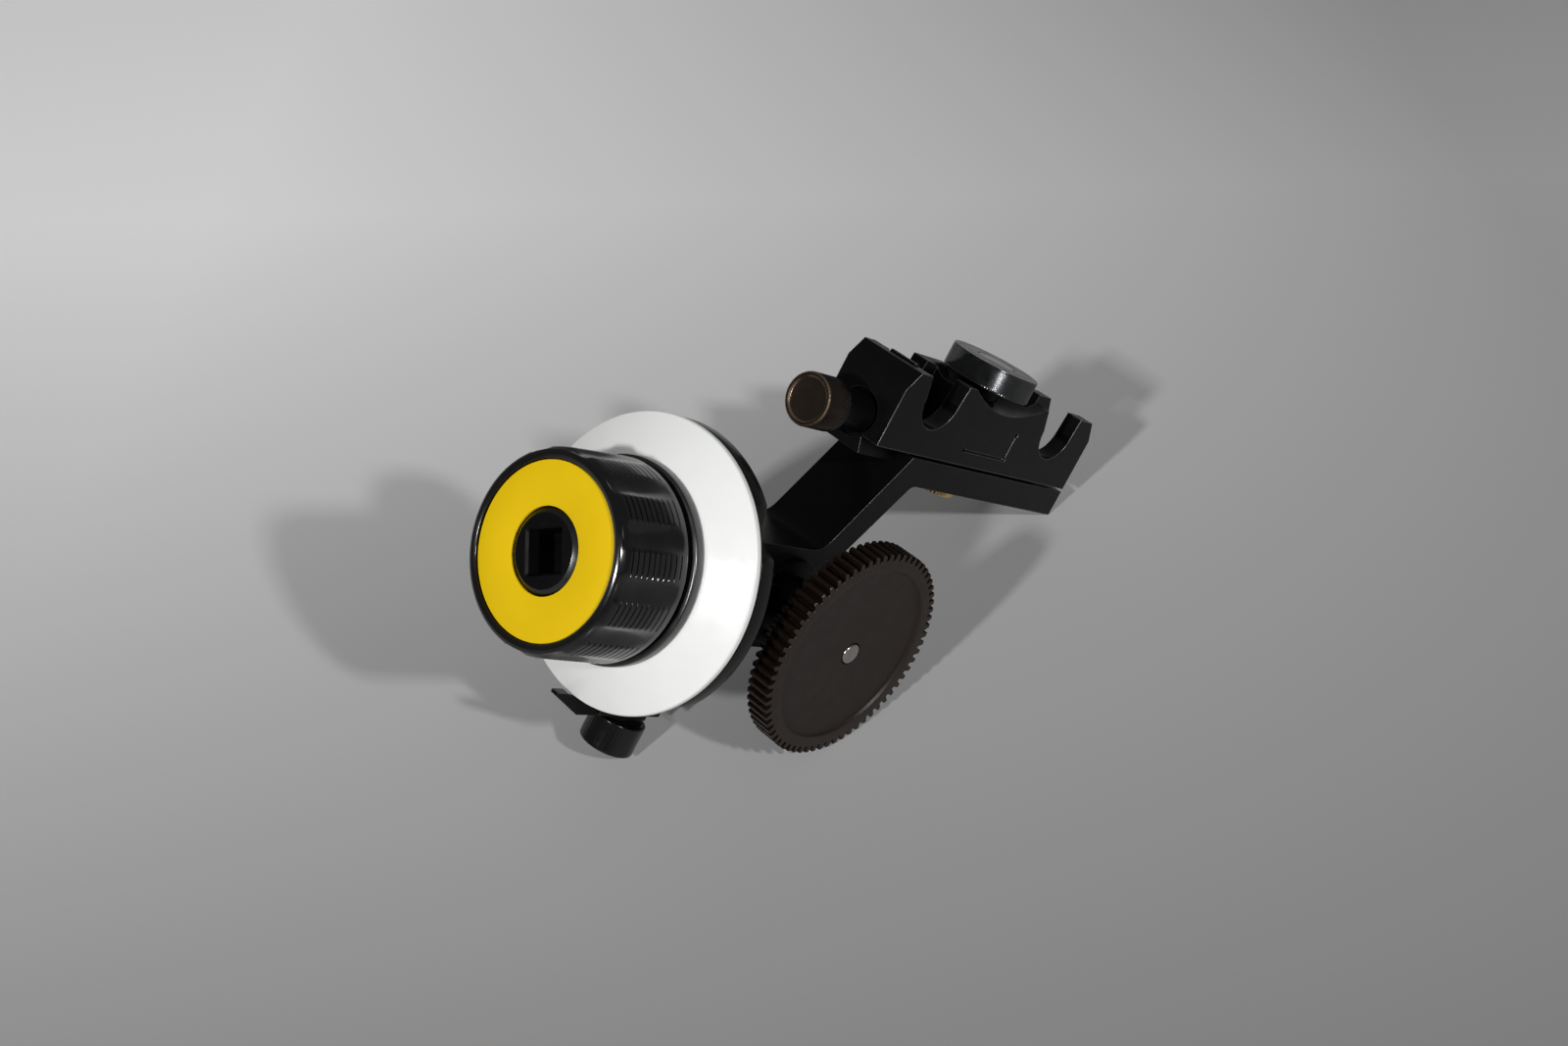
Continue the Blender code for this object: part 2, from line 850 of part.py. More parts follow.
def gearbox_housing():
    housing = side_outline_piece("gearbox_housing", arm_outline(), -half_depth, half_depth, black_metal)
    right_end = 0.5 * block_length + cutter_reach
    channel = dovetail(
        "channel_cutter",
        rail_half_top + seat_gap,
        rail_half_floor + seat_gap,
        plate_top + seat_gap,
        rail_floor - seat_gap,
        -right_end,
        right_end,
        None,
    )
    channel_mouth = box_piece(
        "channel_mouth_cutter",
        (-right_end, -rail_half_top - seat_gap, plate_top - seat_gap),
        (right_end, rail_half_top + seat_gap, plate_top + cutter_reach),
    )
    slot_half = carriage_travel + stud_radius + side_gap
    stud_slot = box_piece(
        "stud_slot_cutter",
        (-slot_half, -stud_radius - side_gap, plate_floor - cutter_reach),
        (slot_half, stud_radius + side_gap, plate_top),
    )
    far_wall = half_depth - cover_thickness - seat_gap
    right = housing_right()
    rebate = box_piece(
        "rebate_cutter",
        (box_left + cover_lip, far_wall, box_floor + cover_lip),
        (right - cover_lip, half_depth + cutter_reach, box_top - cover_lip),
    )
    cavity = box_piece(
        "cavity_cutter",
        (box_left + box_side_wall, -half_depth + box_wall, box_floor + box_side_wall),
        (right - box_side_wall, far_wall + cutter_reach, box_top - box_side_wall),
    )
    shaft_bore = rod(
        "shaft_bore_cutter",
        wheel_shaft_radius + 2.0 * seat_gap,
        box_left - wheel_axis.x - cutter_reach,
        box_left + box_side_wall - wheel_axis.x + cutter_reach,
        along_x,
        segments=medium_segments,
    )
    bush_bore = rod(
        "bush_bore_cutter",
        bush_spigot_radius + seat_gap,
        half_depth - box_wall - cutter_reach,
        half_depth + cutter_reach,
        along_minus_y,
        segments=medium_segments,
    )
    moved(shaft_bore, wheel_axis)
    moved(bush_bore, wheel_axis)
    cut(housing, [channel, channel_mouth, stud_slot, rebate, cavity, shaft_bore, bush_bore])

    for name, (x, z) in cover_corners().items():
        hole = rod(
            f"cover_hole_{name}_cutter",
            cover_screw_radius + seat_gap,
            -far_wall - cutter_reach,
            -half_depth + cover_screw_length + cutter_reach,
            along_minus_y,
        )
        cut(housing, [moved(hole, (x, 0.0, z))])
    for name, (y, z) in barrel_screw_places().items():
        hole = rod(
            f"barrel_hole_{name}_cutter",
            barrel_screw_radius + seat_gap,
            box_left - cutter_reach,
            box_left + barrel_screw_grip,
            along_x,
        )
        cut(housing, [moved(hole, (0.0, y, z))])
    for number, (x, z) in enumerate(bush_screw_places(), start=1):
        hole = rod(
            f"bush_hole_{number}_cutter",
            bush_screw_radius + seat_gap,
            half_depth - box_wall - cutter_reach,
            half_depth + cutter_reach,
            along_minus_y,
        )
        cut(housing, [moved(hole, (x, 0.0, z))])
    for number, x in enumerate(bracket_screw_places(), start=1):
        hole = rod(
            f"bracket_hole_{number}_cutter",
            bracket_screw_radius + seat_gap,
            box_floor - cutter_reach,
            box_floor + bracket_screw_grip + seat_gap,
        )
        cut(housing, [moved(hole, (x, 0.0, 0.0))])


def gearbox_cover():
    left = box_left + cover_lip + seat_gap
    right = housing_right() - cover_lip - seat_gap
    near = half_depth - cover_thickness
    cover = box_piece(
        "gearbox_cover",
        (left, near, box_floor + cover_lip + seat_gap),
        (right, half_depth, box_top - cover_lip - seat_gap),
        black_metal,
    )
    head_near = half_depth - cover_screw_head_height - seat_gap
    for name, (x, z) in cover_corners().items():
        hole = turned(
            f"cover_screw_{name}_cutter",
            [
                (0.0, -near + cutter_reach),
                (cover_screw_radius + seat_gap, -near + cutter_reach),
                (cover_screw_radius + seat_gap, -head_near + seat_gap),
                (cover_screw_head_radius + seat_gap, -head_near + seat_gap),
                (cover_screw_head_radius + seat_gap, -half_depth - cutter_reach),
                (0.0, -half_depth - cutter_reach),
            ],
            fastener_segments,
            None,
            along_minus_y,
        )
        cut(cover, [moved(hole, (x, 0.0, z))])
        screw = turned(
            f"cover_screw_{name}",
            [
                (0.0, -half_depth + cover_screw_length),
                (cover_screw_radius, -half_depth + cover_screw_length),
                (cover_screw_radius, -head_near),
                (cover_screw_head_radius, -head_near),
                (cover_screw_head_radius, -head_near - cover_screw_head_height),
                (0.0, -head_near - cover_screw_head_height),
            ],
            fastener_segments,
            steel,
            along_minus_y,
        )
        moved(screw, (x, 0.0, z))


def barrel_screw_places():
    places = {}
    rise = 0.5 * box_height - barrel_screw_inset
    for side, y in (("near", -barrel_screw_offset_y), ("far", barrel_screw_offset_y)):
        for level, offset in (("floor", -rise), ("top", rise)):
            places[f"{side}_{level}"] = (y, shaft_height + offset)
    return places


def wheel_barrel():
    """Tube and plate that carry the wheel shaft's bearings on the gear box."""
    plate_right = box_left - seat_gap
    plate_left = plate_right - barrel_plate_thickness
    plate = box_piece(
        "barrel_plate",
        (plate_left, -half_depth + seat_gap, box_floor + seat_gap),
        (plate_right, half_depth - seat_gap, box_top - seat_gap),
        black_metal,
    )
    bore = rod(
        "barrel_plate_cutter",
        barrel_radius - 2.0 * seat_gap,
        plate_left - cutter_reach,
        plate_right + cutter_reach,
        along_x,
        segments=medium_segments,
    )
    cut(plate, [moved(bore, (0.0, 0.0, shaft_height))])
    for name, (y, z) in barrel_screw_places().items():
        hole = rod(
            f"barrel_screw_{name}_cutter",
            barrel_screw_radius + seat_gap,
            plate_left - cutter_reach,
            plate_right + cutter_reach,
            along_x,
        )
        cut(plate, [moved(hole, (0.0, y, z))])
        head_right = plate_left - seat_gap
        screw = turned(
            f"barrel_screw_{name}",
            [
                (0.0, head_right - barrel_screw_head_height),
                (barrel_screw_head_radius, head_right - barrel_screw_head_height),
                (barrel_screw_head_radius, head_right),
                (barrel_screw_radius, head_right),
                (barrel_screw_radius, box_left + barrel_screw_grip - seat_gap),
                (0.0, box_left + barrel_screw_grip - seat_gap),
            ],
            fastener_segments,
            steel,
            along_x,
        )
        moved(screw, (0.0, y, z))

    inner = wheel_bearing_radius + seat_gap
    barrel = turned(
        "wheel_barrel",
        [
            (inner, barrel_front),
            (barrel_radius, barrel_front),
            (barrel_radius, plate_left - seat_gap),
            (barrel_radius - 3.0 * seat_gap, plate_left - seat_gap),
            (barrel_radius - 3.0 * seat_gap, plate_right),
            (inner, plate_right),
        ],
        medium_segments,
        black_metal,
        along_x,
    )
    moved(barrel, (0.0, 0.0, shaft_height))
    starts = {
        "wheel_bearing_front": barrel_front + seat_gap,
        "wheel_bearing_rear": plate_right - seat_gap - wheel_bearing_width,
    }
    for name, start in starts.items():
        race = bearing(name, wheel_shaft_radius, wheel_bearing_radius, start, wheel_bearing_width, along_x)
        moved(race, (0.0, 0.0, shaft_height))


def bearing(name, shaft_radius, radius, start, width, turn):
    """Ball bearing as one ring."""
    bore = shaft_radius + seat_gap
    end = start + width
    outline = [(bore, start), (radius, start), (radius, end), (bore, end)]
    return turned(name, outline, small_segments, steel, turn)


def bevel_gear(name, hub_length, bore_radius, turn, parent, tooth_first):
    """Mitre bevel gear on local Z whose cone tip lies at the origin and whose back faces -Z.

    Each tooth is straight and tapers towards the cone's tip. Without `tooth_first` a gap, not a
    tooth, stands at local +X.
    """
    cone = bevel_radius * math.sqrt(2.0)
    inner_scale = 1.0 - bevel_face / cone
    diagonal = 1.0 / math.sqrt(2.0)
    rise = bevel_addendum_share * gear_module * diagonal
    sink = bevel_dedendum_share * gear_module * diagonal
    root = (bevel_radius - sink, -bevel_radius - sink)
    tip = (bevel_radius + rise, -bevel_radius + rise)
    pitch = 2.0 * math.pi / bevel_teeth
    phase = 0.0 if tooth_first else 0.5 * pitch
    half_root = 0.5 * bevel_tooth_share * pitch * (1.0 + bevel_tip_share)
    half_tip = 0.5 * bevel_tooth_share * pitch * bevel_tip_share
    vertices = []
    for tooth in range(bevel_teeth):
        middle = tooth * pitch + phase
        corners = [
            (root, middle - half_root),
            (tip, middle - half_tip),
            (tip, middle + half_tip),
            (root, middle + half_root),
        ]
        for (edge_radius, edge_height), angle in corners:
            ring = [(edge_radius, edge_height), (edge_radius * inner_scale, edge_height * inner_scale)]
            ring.append((bore_radius, root[1] * inner_scale))
            ring.append((bore_radius, root[1] - hub_length))
            ring.append((bevel_hub_radius, root[1] - hub_length))
            ring.append((bevel_hub_radius, root[1]))
            for radius, height in ring:
                place = (radius * math.cos(angle), radius * math.sin(angle), height)
                vertices.append(place)
    columns = 4 * bevel_teeth
    count = 6
    faces = []
    for column in range(columns):
        here = column * count
        there = ((column + 1) % columns) * count
        for index in range(count):
            after = (index + 1) % count
            faces.append((here + index, there + index, there + after))
            faces.append((here + index, there + after, here + after))
    return add_piece(name, vertices, faces, steel, turn, parent)


def bush_screw_places():
    places = []
    for number in range(bush_screw_count):
        angle = math.radians(bush_screw_turn_degrees) + 2.0 * math.pi * number / bush_screw_count
        x = wheel_axis.x + bush_screw_circle * math.cos(angle)
        places.append((x, shaft_height + bush_screw_circle * math.sin(angle)))
    return places


def output_bush():
    """Flanged bush on the gear box's near face, with the two bearings of the drive gear's shaft."""
    inner = output_bearing_radius + seat_gap
    flange_start = half_depth + seat_gap
    flange_end = flange_start + bush_flange_height
    spigot_end = half_depth - box_wall + seat_gap
    bush = turned(
        "output_bush",
        [
            (inner, spigot_end),
            (bush_spigot_radius, spigot_end),
            (bush_spigot_radius, flange_start),
            (bush_flange_radius, flange_start),
            (bush_flange_radius, flange_end),
            (bush_nose_radius, flange_end),
            (bush_nose_radius, -bush_nose_end),
            (inner, -bush_nose_end),
        ],
        medium_segments,
        black_metal,
        along_minus_y,
    )
    moved(bush, wheel_axis)
    for number, (x, z) in enumerate(bush_screw_places(), start=1):
        hole = rod(
            f"bush_screw_{number}_cutter",
            bush_screw_radius + seat_gap,
            flange_start - cutter_reach,
            flange_end + cutter_reach,
            along_minus_y,
        )
        moved(hole, (x, 0.0, z))
        cut(bush, [hole])
        head_start = flange_end + seat_gap
        screw = turned(
            f"bush_screw_{number}",
            [
                (0.0, half_depth - box_wall + seat_gap),
                (bush_screw_radius, half_depth - box_wall + seat_gap),
                (bush_screw_radius, head_start),
                (bush_screw_head_radius, head_start),
                (bush_screw_head_radius, head_start + bush_screw_head_height),
                (0.0, head_start + bush_screw_head_height),
            ],
            fastener_segments,
            steel,
            along_minus_y,
        )
        moved(screw, (x, 0.0, z))
    starts = {
        "output_bearing_front": -bush_nose_end - seat_gap - output_bearing_width,
        "output_bearing_rear": spigot_end + seat_gap,
    }
    for name, start in starts.items():
        race = bearing(
            name, output_shaft_radius, output_bearing_radius, start, output_bearing_width, along_minus_y
        )
        moved(race, wheel_axis)


def spur_outline(teeth, tip_radius, root_radius, tip_share, root_share):
    """Straight-sided teeth, whose shares are of the tooth pitch at the tip and at the root."""
    points = []
    pitch = 2.0 * math.pi / teeth
    for tooth in range(teeth):
        middle = tooth * pitch
        for radius, offset in (
            (root_radius, -0.5 * root_share),
            (tip_radius, -0.5 * tip_share),
            (tip_radius, 0.5 * tip_share),
            (root_radius, 0.5 * root_share),
        ):
            angle = middle + offset * pitch
            points.append((radius * math.cos(angle), radius * math.sin(angle)))
    return points


def drive_gear():
    output_axis = axis_empty("output_axis", wheel_axis)
    front = -drive_face_y
    back = front - drive_width
    gear = extruded(
        "drive_gear",
        spur_outline(drive_teeth, drive_tip_radius, drive_root_radius, drive_tip_share, drive_root_share),
        back,
        front,
        gear_brown,
        along_minus_y,
        output_axis,
    )
    recess = rod(
        "web_recess_cutter",
        drive_web_radius,
        front - drive_web_recess,
        front + cutter_reach,
        along_minus_y,
        segments=fine_segments,
    )
    bore = rod(
        "gear_bore_cutter",
        output_shaft_radius + seat_gap,
        back - cutter_reach,
        front + cutter_reach,
        along_minus_y,
    )
    moved(recess, wheel_axis)
    moved(bore, wheel_axis)
    cut(gear, [recess, bore])
    shaft_bore = output_shaft_radius + seat_gap
    hub_front = back - seat_gap
    turned(
        "gear_hub",
        [
            (shaft_bore, hub_front - gear_hub_length),
            (gear_hub_radius, hub_front - gear_hub_length),
            (gear_hub_radius, hub_front),
            (shaft_bore, hub_front),
        ],
        medium_segments,
        dark_steel,
        along_minus_y,
        output_axis,
    )
    bevel_back = bevel_radius + bevel_dedendum_share * gear_module / math.sqrt(2.0)
    spigot_start = bevel_back + bevel_hub_length + seat_gap
    spigot_end = bevel_back * (1.0 - bevel_face / (bevel_radius * math.sqrt(2.0)))
    pin_front = front - drive_web_recess + pin_recess
    turned(
        "output_shaft",
        [
            (0.0, spigot_end),
            (output_spigot_radius, spigot_end),
            (output_spigot_radius, spigot_start),
            (output_shaft_radius, spigot_start),
            (output_shaft_radius, pin_front),
            (0.0, pin_front),
        ],
        fastener_segments,
        steel,
        along_minus_y,
        output_axis,
    )
    towards_viewer = Matrix.Rotation(math.radians(-90.0), 4, "X")
    towards_viewer = towards_viewer @ Matrix.Rotation(math.radians(180.0), 4, "Z")
    bevel_gear(
        "output_bevel",
        bevel_hub_length,
        output_spigot_radius + seat_gap,
        towards_viewer,
        output_axis,
        tooth_first=False,
    )


def wheel_surface_reach(column, index, radius):
    """Scallops between the wheel's lands, on the outer points of its outline."""
    if index not in (7, 8, 9):
        return radius
    share = (column * wheel_scallops / wheel_columns) % 1.0
    if share >= wheel_scallop_share:
        return radius
    return radius - wheel_scallop_depth * math.sin(math.pi * share / wheel_scallop_share)


wheel_columns = 5 * wheel_scallops


def hand_wheel(spin_axis):
    """Hollow hand wheel with its face plate and crank socket, on local coordinates from the axis."""
    shift = -wheel_axis.x
    bore = wheel_shaft_radius + seat_gap
    front = wheel_rim_front + shift
    back = wheel_back + shift
    floor = face_plate_front + face_plate_thickness + seat_gap + shift
    pocket = socket_front + socket_length + seat_gap + shift
    turned(
        "hand_wheel",
        [
            (bore, pocket),
            (socket_radius + seat_gap, pocket),
            (socket_radius + seat_gap, floor),
            (wheel_lip_radius, floor),
            (wheel_lip_radius, front + 0.5 * wheel_rim_rounding),
            (wheel_rim_radius - wheel_bevel_rise - wheel_rim_rounding, front),
            (wheel_rim_radius - wheel_bevel_rise, front + 0.5 * wheel_rim_rounding),
            (wheel_rim_radius, front + wheel_bevel_run),
            (wheel_back_radius, back - wheel_rim_rounding),
            (wheel_back_radius - wheel_rim_rounding, back),
            (wheel_back_radius - wheel_wall, back),
            (wheel_back_radius - wheel_wall, floor + wheel_web),
            (wheel_boss_radius, floor + wheel_web),
            (wheel_boss_radius, back),
            (bore, back),
        ],
        wheel_columns,
        black_plastic,
        along_x @ Matrix.Rotation(math.radians(wheel_turn_degrees), 4, "Z"),
        spin_axis,
        wheel_surface_reach,
    )
    turned(
        "face_plate",
        [
            (face_plate_inner_radius, face_plate_front + shift),
            (face_plate_outer_radius, face_plate_front + shift),
            (face_plate_outer_radius, face_plate_front + face_plate_thickness + shift),
            (face_plate_inner_radius, face_plate_front + face_plate_thickness + shift),
        ],
        fine_segments,
        yellow_plate,
        along_x,
        spin_axis,
    )
    socket_front_local = socket_front + shift
    socket = rod(
        "crank_socket",
        socket_radius,
        socket_front_local,
        socket_front_local + socket_length,
        along_x,
        spin_axis,
        medium_segments,
        black_plastic,
    )
    square_turn = Matrix.Rotation(math.radians(-socket_turn_degrees), 4, "X") @ along_x
    half = 0.5 * socket_square
    square = extruded(
        "socket_square_cutter",
        [(-half, -half), (half, -half), (half, half), (-half, half)],
        socket_front_local - cutter_reach,
        socket_front_local + socket_depth,
        None,
        square_turn,
    )
    mouth_half = 0.5 * socket_mouth_square
    outer_half = mouth_half + (mouth_half - half) * cutter_reach / socket_mouth_depth
    levels = [
        (outer_half, socket_front_local - cutter_reach),
        (half, socket_front_local + socket_mouth_depth),
    ]
    vertices = []
    for size, height in levels:
        vertices += [(-size, -size, height), (size, -size, height)]
        vertices += [(size, size, height), (-size, size, height)]
    faces = [(0, 1, 2, 3), (4, 5, 6, 7), (0, 1, 5, 4), (1, 2, 6, 5), (2, 3, 7, 6), (3, 0, 4, 7)]
    mouth = add_piece("socket_mouth_cutter", vertices, faces, None, square_turn)
    moved(square, wheel_axis)
    moved(mouth, wheel_axis)
    cut(socket, [square, mouth])


def wheel_train():
    """Wheel shaft, its bevel gear and the hub that the marking disc turns on."""
    spin_axis = axis_empty("wheel_spin_axis", wheel_axis)
    shift = -wheel_axis.x
    hand_wheel(spin_axis)
    bevel_back = bevel_radius + bevel_dedendum_share * gear_module / math.sqrt(2.0)
    spigot_start = -bevel_back - wheel_bevel_hub_length - seat_gap
    spigot_end = -bevel_back * (1.0 - bevel_face / (bevel_radius * math.sqrt(2.0)))
    shaft_start = socket_front + socket_length + 2.0 * seat_gap + shift
    turned(
        "wheel_shaft",
        [
            (0.0, shaft_start),
            (wheel_shaft_radius, shaft_start),
            (wheel_shaft_radius, spigot_start),
            (wheel_spigot_radius, spigot_start),
            (wheel_spigot_radius, spigot_end),
            (0.0, spigot_end),
        ],
        fastener_segments,
        steel,
        along_x,
        spin_axis,
    )
    tooth_towards_viewer = along_x @ Matrix.Rotation(math.radians(-90.0), 4, "Z")
    bevel_gear(
        "wheel_bevel",
        wheel_bevel_hub_length,
        wheel_spigot_radius + seat_gap,
        tooth_towards_viewer,
        spin_axis,
        tooth_first=True,
    )
    bore = wheel_shaft_radius + seat_gap
    flange_front = hub_flange_front + shift
    flange_back = flange_front + hub_flange_thickness
    turned(
        "wheel_hub",
        [
            (bore, flange_front),
            (hub_flange_radius - disc_rounding, flange_front),
            (hub_flange_radius, flange_front + disc_rounding),
            (hub_flange_radius, flange_back - disc_rounding),
            (hub_flange_radius - disc_rounding, flange_back),
            (hub_sleeve_radius, flange_back),
            (hub_sleeve_radius, hub_sleeve_end + shift),
            (bore, hub_sleeve_end + shift),
        ],
        fine_segments,
        black_plastic,
        along_x,
        spin_axis,
    )
    retainer_start = hub_sleeve_end + seat_gap + shift
    turned(
        "disc_retainer",
        [
            (bore, retainer_start),
            (retainer_radius, retainer_start),
            (retainer_radius, retainer_start + retainer_thickness),
            (bore, retainer_start + retainer_thickness),
        ],
        medium_segments,
        dark_steel,
        along_x,
        spin_axis,
    )


def disc_cone(radius):
    """How far the disc's front lies behind its inner flat, at a radius on its cone."""
    if radius <= disc_cone_radius:
        return 0.0
    share = (radius - disc_cone_radius) / (disc_radius - disc_cone_radius)
    return share * (disc_rim_x - disc_front_inner)


ring_columns = 15 * ring_notches


def ring_reach(column, index, radius):
    """Finger notches in the grip ring's edge."""
    if index not in (2, 3, 4):
        return radius
    spacing = 360.0 / ring_notches
    offset = 360.0 * column / ring_columns - ring_notch_turn_degrees
    offset = (offset + 0.5 * spacing) % spacing - 0.5 * spacing
    share = abs(offset) / ring_notch_half_degrees
    if share >= 1.0:
        return radius
    return radius - ring_notch_depth * math.cos(0.5 * math.pi * share)


def marking_disc():
    """White marking disc and the notched grip ring behind it, which turn together on the hub."""
    disc_axis = axis_empty("disc_axis", wheel_axis)
    shift = -wheel_axis.x
    front = disc_front_inner + shift
    edge = disc_radius - disc_rounding
    turned(
        "marking_disc",
        [
            (rotor_bore, front),
            (disc_cone_radius, front),
            (edge, front + disc_cone(edge)),
            (disc_radius, front + disc_cone(disc_radius) + disc_rounding),
            (disc_radius, front + disc_cone(disc_radius) + disc_thickness - disc_rounding),
            (edge, front + disc_cone(edge) + disc_thickness),
            (disc_cone_radius, front + disc_thickness),
            (rotor_bore, front + disc_thickness),
        ],
        fine_segments,
        white_plastic,
        along_x,
        disc_axis,
    )
    front = ring_front_inner + shift
    rim_front = front + disc_cone(edge)
    turned(
        "grip_ring",
        [
            (rotor_bore, front),
            (disc_cone_radius, front),
            (edge, rim_front),
            (ring_radius, rim_front),
            (ring_radius, rim_front + ring_width),
            (edge - 2.0 * ring_notch_depth, rim_front + ring_width),
            (disc_cone_radius, front + ring_web),
            (rotor_bore, front + ring_web),
        ],
        ring_columns,
        black_plastic,
        along_x,
        disc_axis,
        ring_reach,
    )
    spring_start = ring_back_inner + seat_gap + shift
    turned(
        "friction_washer",
        [
            (rotor_bore, spring_start),
            (spring_radius, spring_start),
            (spring_radius, spring_start + spring_thickness),
            (rotor_bore, spring_start + spring_thickness),
        ],
        medium_segments,
        steel,
        along_x,
        disc_axis,
    )


def bracket_screw_places():
    middle = 0.5 * (bracket_leg_left + bracket_thickness + bracket_flange_right)
    return [middle - 0.5 * bracket_screw_spacing, middle + 0.5 * bracket_screw_spacing]


def index_bracket():
    """Bracket under the gear box, its pointer beside the marking disc and the pointer's lock."""
    top = box_floor - seat_gap
    foot_top = bracket_foot_floor + bracket_thickness
    leg_right = bracket_leg_left + bracket_thickness
    outline = [
        (bracket_leg_left, top),
        (bracket_leg_left, foot_top),
        (bracket_foot_left, foot_top),
        (bracket_foot_left, bracket_foot_floor),
        (leg_right, bracket_foot_floor),
        (leg_right, top - bracket_thickness),
        (bracket_flange_right, top - bracket_thickness),
        (bracket_flange_right, top),
    ]
    bracket = side_outline_piece(
        "index_bracket", outline, -bracket_half_width, bracket_half_width, black_metal
    )
    pivot_hole = rod(
        "bracket_pivot_cutter",
        lock_stud_radius + seat_gap,
        bracket_foot_floor - cutter_reach,
        foot_top + cutter_reach,
    )
    cut(bracket, [moved(pivot_hole, (pointer_pivot_x, 0.0, 0.0))])
    flange_floor = top - bracket_thickness
    for number, x in enumerate(bracket_screw_places(), start=1):
        hole = rod(
            f"bracket_screw_{number}_cutter",
            bracket_screw_radius + seat_gap,
            flange_floor - cutter_reach,
            top + cutter_reach,
        )
        cut(bracket, [moved(hole, (x, 0.0, 0.0))])
        head_top = flange_floor - seat_gap
        screw = turned(
            f"bracket_screw_{number}",
            [
                (0.0, head_top - bracket_screw_head_height),
                (bracket_screw_head_radius, head_top - bracket_screw_head_height),
                (bracket_screw_head_radius, head_top),
                (bracket_screw_radius, head_top),
                (bracket_screw_radius, box_floor + bracket_screw_grip),
                (0.0, box_floor + bracket_screw_grip),
            ],
            fastener_segments,
            steel,
        )
        moved(screw, (x, 0.0, 0.0))


def index_pointer():
    pivot = axis_empty("pointer_axis", (pointer_pivot_x, 0.0, 0.0))
    outline = [
        (pointer_pivot_x + pointer_heel, pointer_floor),
        (pointer_bend_x, pointer_floor),
        (pointer_tip_x, pointer_tip_top - pointer_tip_height),
        (pointer_tip_x, pointer_tip_top),
        (pointer_tip_back_x, pointer_tip_top),
        (pointer_rise_x, pointer_top),
        (pointer_pivot_x + pointer_heel, pointer_top),
    ]
    outline = [(x - pointer_pivot_x, z) for x, z in outline]
    pointer = side_outline_piece(
        "index_pointer", outline, -pointer_half_width, pointer_half_width, black_metal, pivot
    )
    hole = rod(
        "pointer_pivot_cutter",
        lock_stud_radius + seat_gap,
        pointer_floor - cutter_reach,
        pointer_top + cutter_reach,
    )
    cut(pointer, [moved(hole, (pointer_pivot_x, 0.0, 0.0))])
    tip = pointer_tip_x - cutter_reach
    shoulder = pointer_pivot_x - pointer_neck_reach
    neck = shoulder - pointer_taper_run
    outer = pointer_half_width + cutter_reach
    slope_run = pointer_taper_run * (outer - pointer_blade_half_width)
    slope_run /= pointer_half_width - pointer_blade_half_width
    for side in (-1, 1):
        near = side * pointer_blade_half_width
        far = side * outer
        outline = [(tip, near), (neck, near), (neck + slope_run, far), (tip, far)]
        cutter = extruded(
            f"pointer_side_{side}_cutter",
            outline,
            pointer_floor - cutter_reach,
            pointer_tip_top + cutter_reach,
            None,
        )
        cut(pointer, [cutter])


def lock_knob():
    lock_axis = axis_empty("lock_knob_axis", (pointer_pivot_x, 0.0, 0.0))
    floor = lock_knob_top - lock_knob_height
    seat = lock_knob_top - lock_stud_seat
    bore = lock_stud_radius + seat_gap
    fluted = {2, 3}

    def flute(column, index, radius):
        return radius - lock_knob_flute_depth if index in fluted and column % 2 else radius

    turned(
        "lock_knob",
        [
            (0.0, floor),
            (lock_knob_radius - lock_knob_chamfer, floor),
            (lock_knob_radius, floor + lock_knob_chamfer),
            (lock_knob_radius, lock_knob_top - lock_knob_chamfer),
            (lock_knob_radius - lock_knob_chamfer, lock_knob_top),
            (bore, lock_knob_top),
            (bore, seat),
            (0.0, seat),
        ],
        2 * lock_knob_flutes,
        black_plastic,
        parent=lock_axis,
        reach=flute,
    )
    nut_floor = bracket_foot_floor + bracket_thickness + seat_gap
    nut_top = nut_floor + lock_nut_height
    rod(
        "lock_stud",
        lock_stud_radius,
        seat + seat_gap,
        nut_top + seat_gap,
        parent=lock_axis,
        material=steel,
    )
    nut = turned(
        "lock_nut",
        [
            (bore, nut_floor),
            (lock_nut_radius, nut_floor),
            (lock_nut_radius, nut_top),
            (bore, nut_top),
        ],
        2 * lock_nut_sides,
        steel,
    )
    moved(nut, (pointer_pivot_x, 0.0, 0.0))


def build():
    clamp_block()
    slide_rail()
    clamp_knob()
    thumb_screw()
    rod_pad()
    gearbox_housing()
    gearbox_cover()
    wheel_barrel()
    output_bush()
    drive_gear()
    wheel_train()
    marking_disc()
    index_bracket()
    index_pointer()
    lock_knob()


clear_scene()
build()
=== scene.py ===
"""Looks of the lens follow focus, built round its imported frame.

Lengths in the tables are in millimetres in the row frame: X runs along the hand wheel's shaft,
Y along the rods and Z out of the mouths of the rod slots.
"""

import math

import bmesh
import bpy
import numpy as np
from mathutils import Matrix, Vector


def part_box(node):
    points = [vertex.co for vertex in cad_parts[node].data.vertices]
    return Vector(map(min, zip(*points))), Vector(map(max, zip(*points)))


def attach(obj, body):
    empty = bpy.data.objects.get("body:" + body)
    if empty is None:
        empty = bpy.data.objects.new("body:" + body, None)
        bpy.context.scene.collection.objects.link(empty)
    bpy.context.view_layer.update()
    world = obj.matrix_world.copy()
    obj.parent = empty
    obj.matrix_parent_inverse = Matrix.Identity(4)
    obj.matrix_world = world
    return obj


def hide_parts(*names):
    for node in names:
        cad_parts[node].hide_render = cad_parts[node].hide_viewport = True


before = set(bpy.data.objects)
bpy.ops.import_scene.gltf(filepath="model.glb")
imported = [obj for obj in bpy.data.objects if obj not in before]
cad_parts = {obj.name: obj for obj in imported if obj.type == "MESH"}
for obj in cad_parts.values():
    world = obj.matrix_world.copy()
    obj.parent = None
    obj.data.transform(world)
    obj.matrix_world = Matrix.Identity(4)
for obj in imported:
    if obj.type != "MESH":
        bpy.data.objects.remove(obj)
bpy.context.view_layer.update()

MM = 0.001
WHEEL_LINE = (0.0, -59.2)
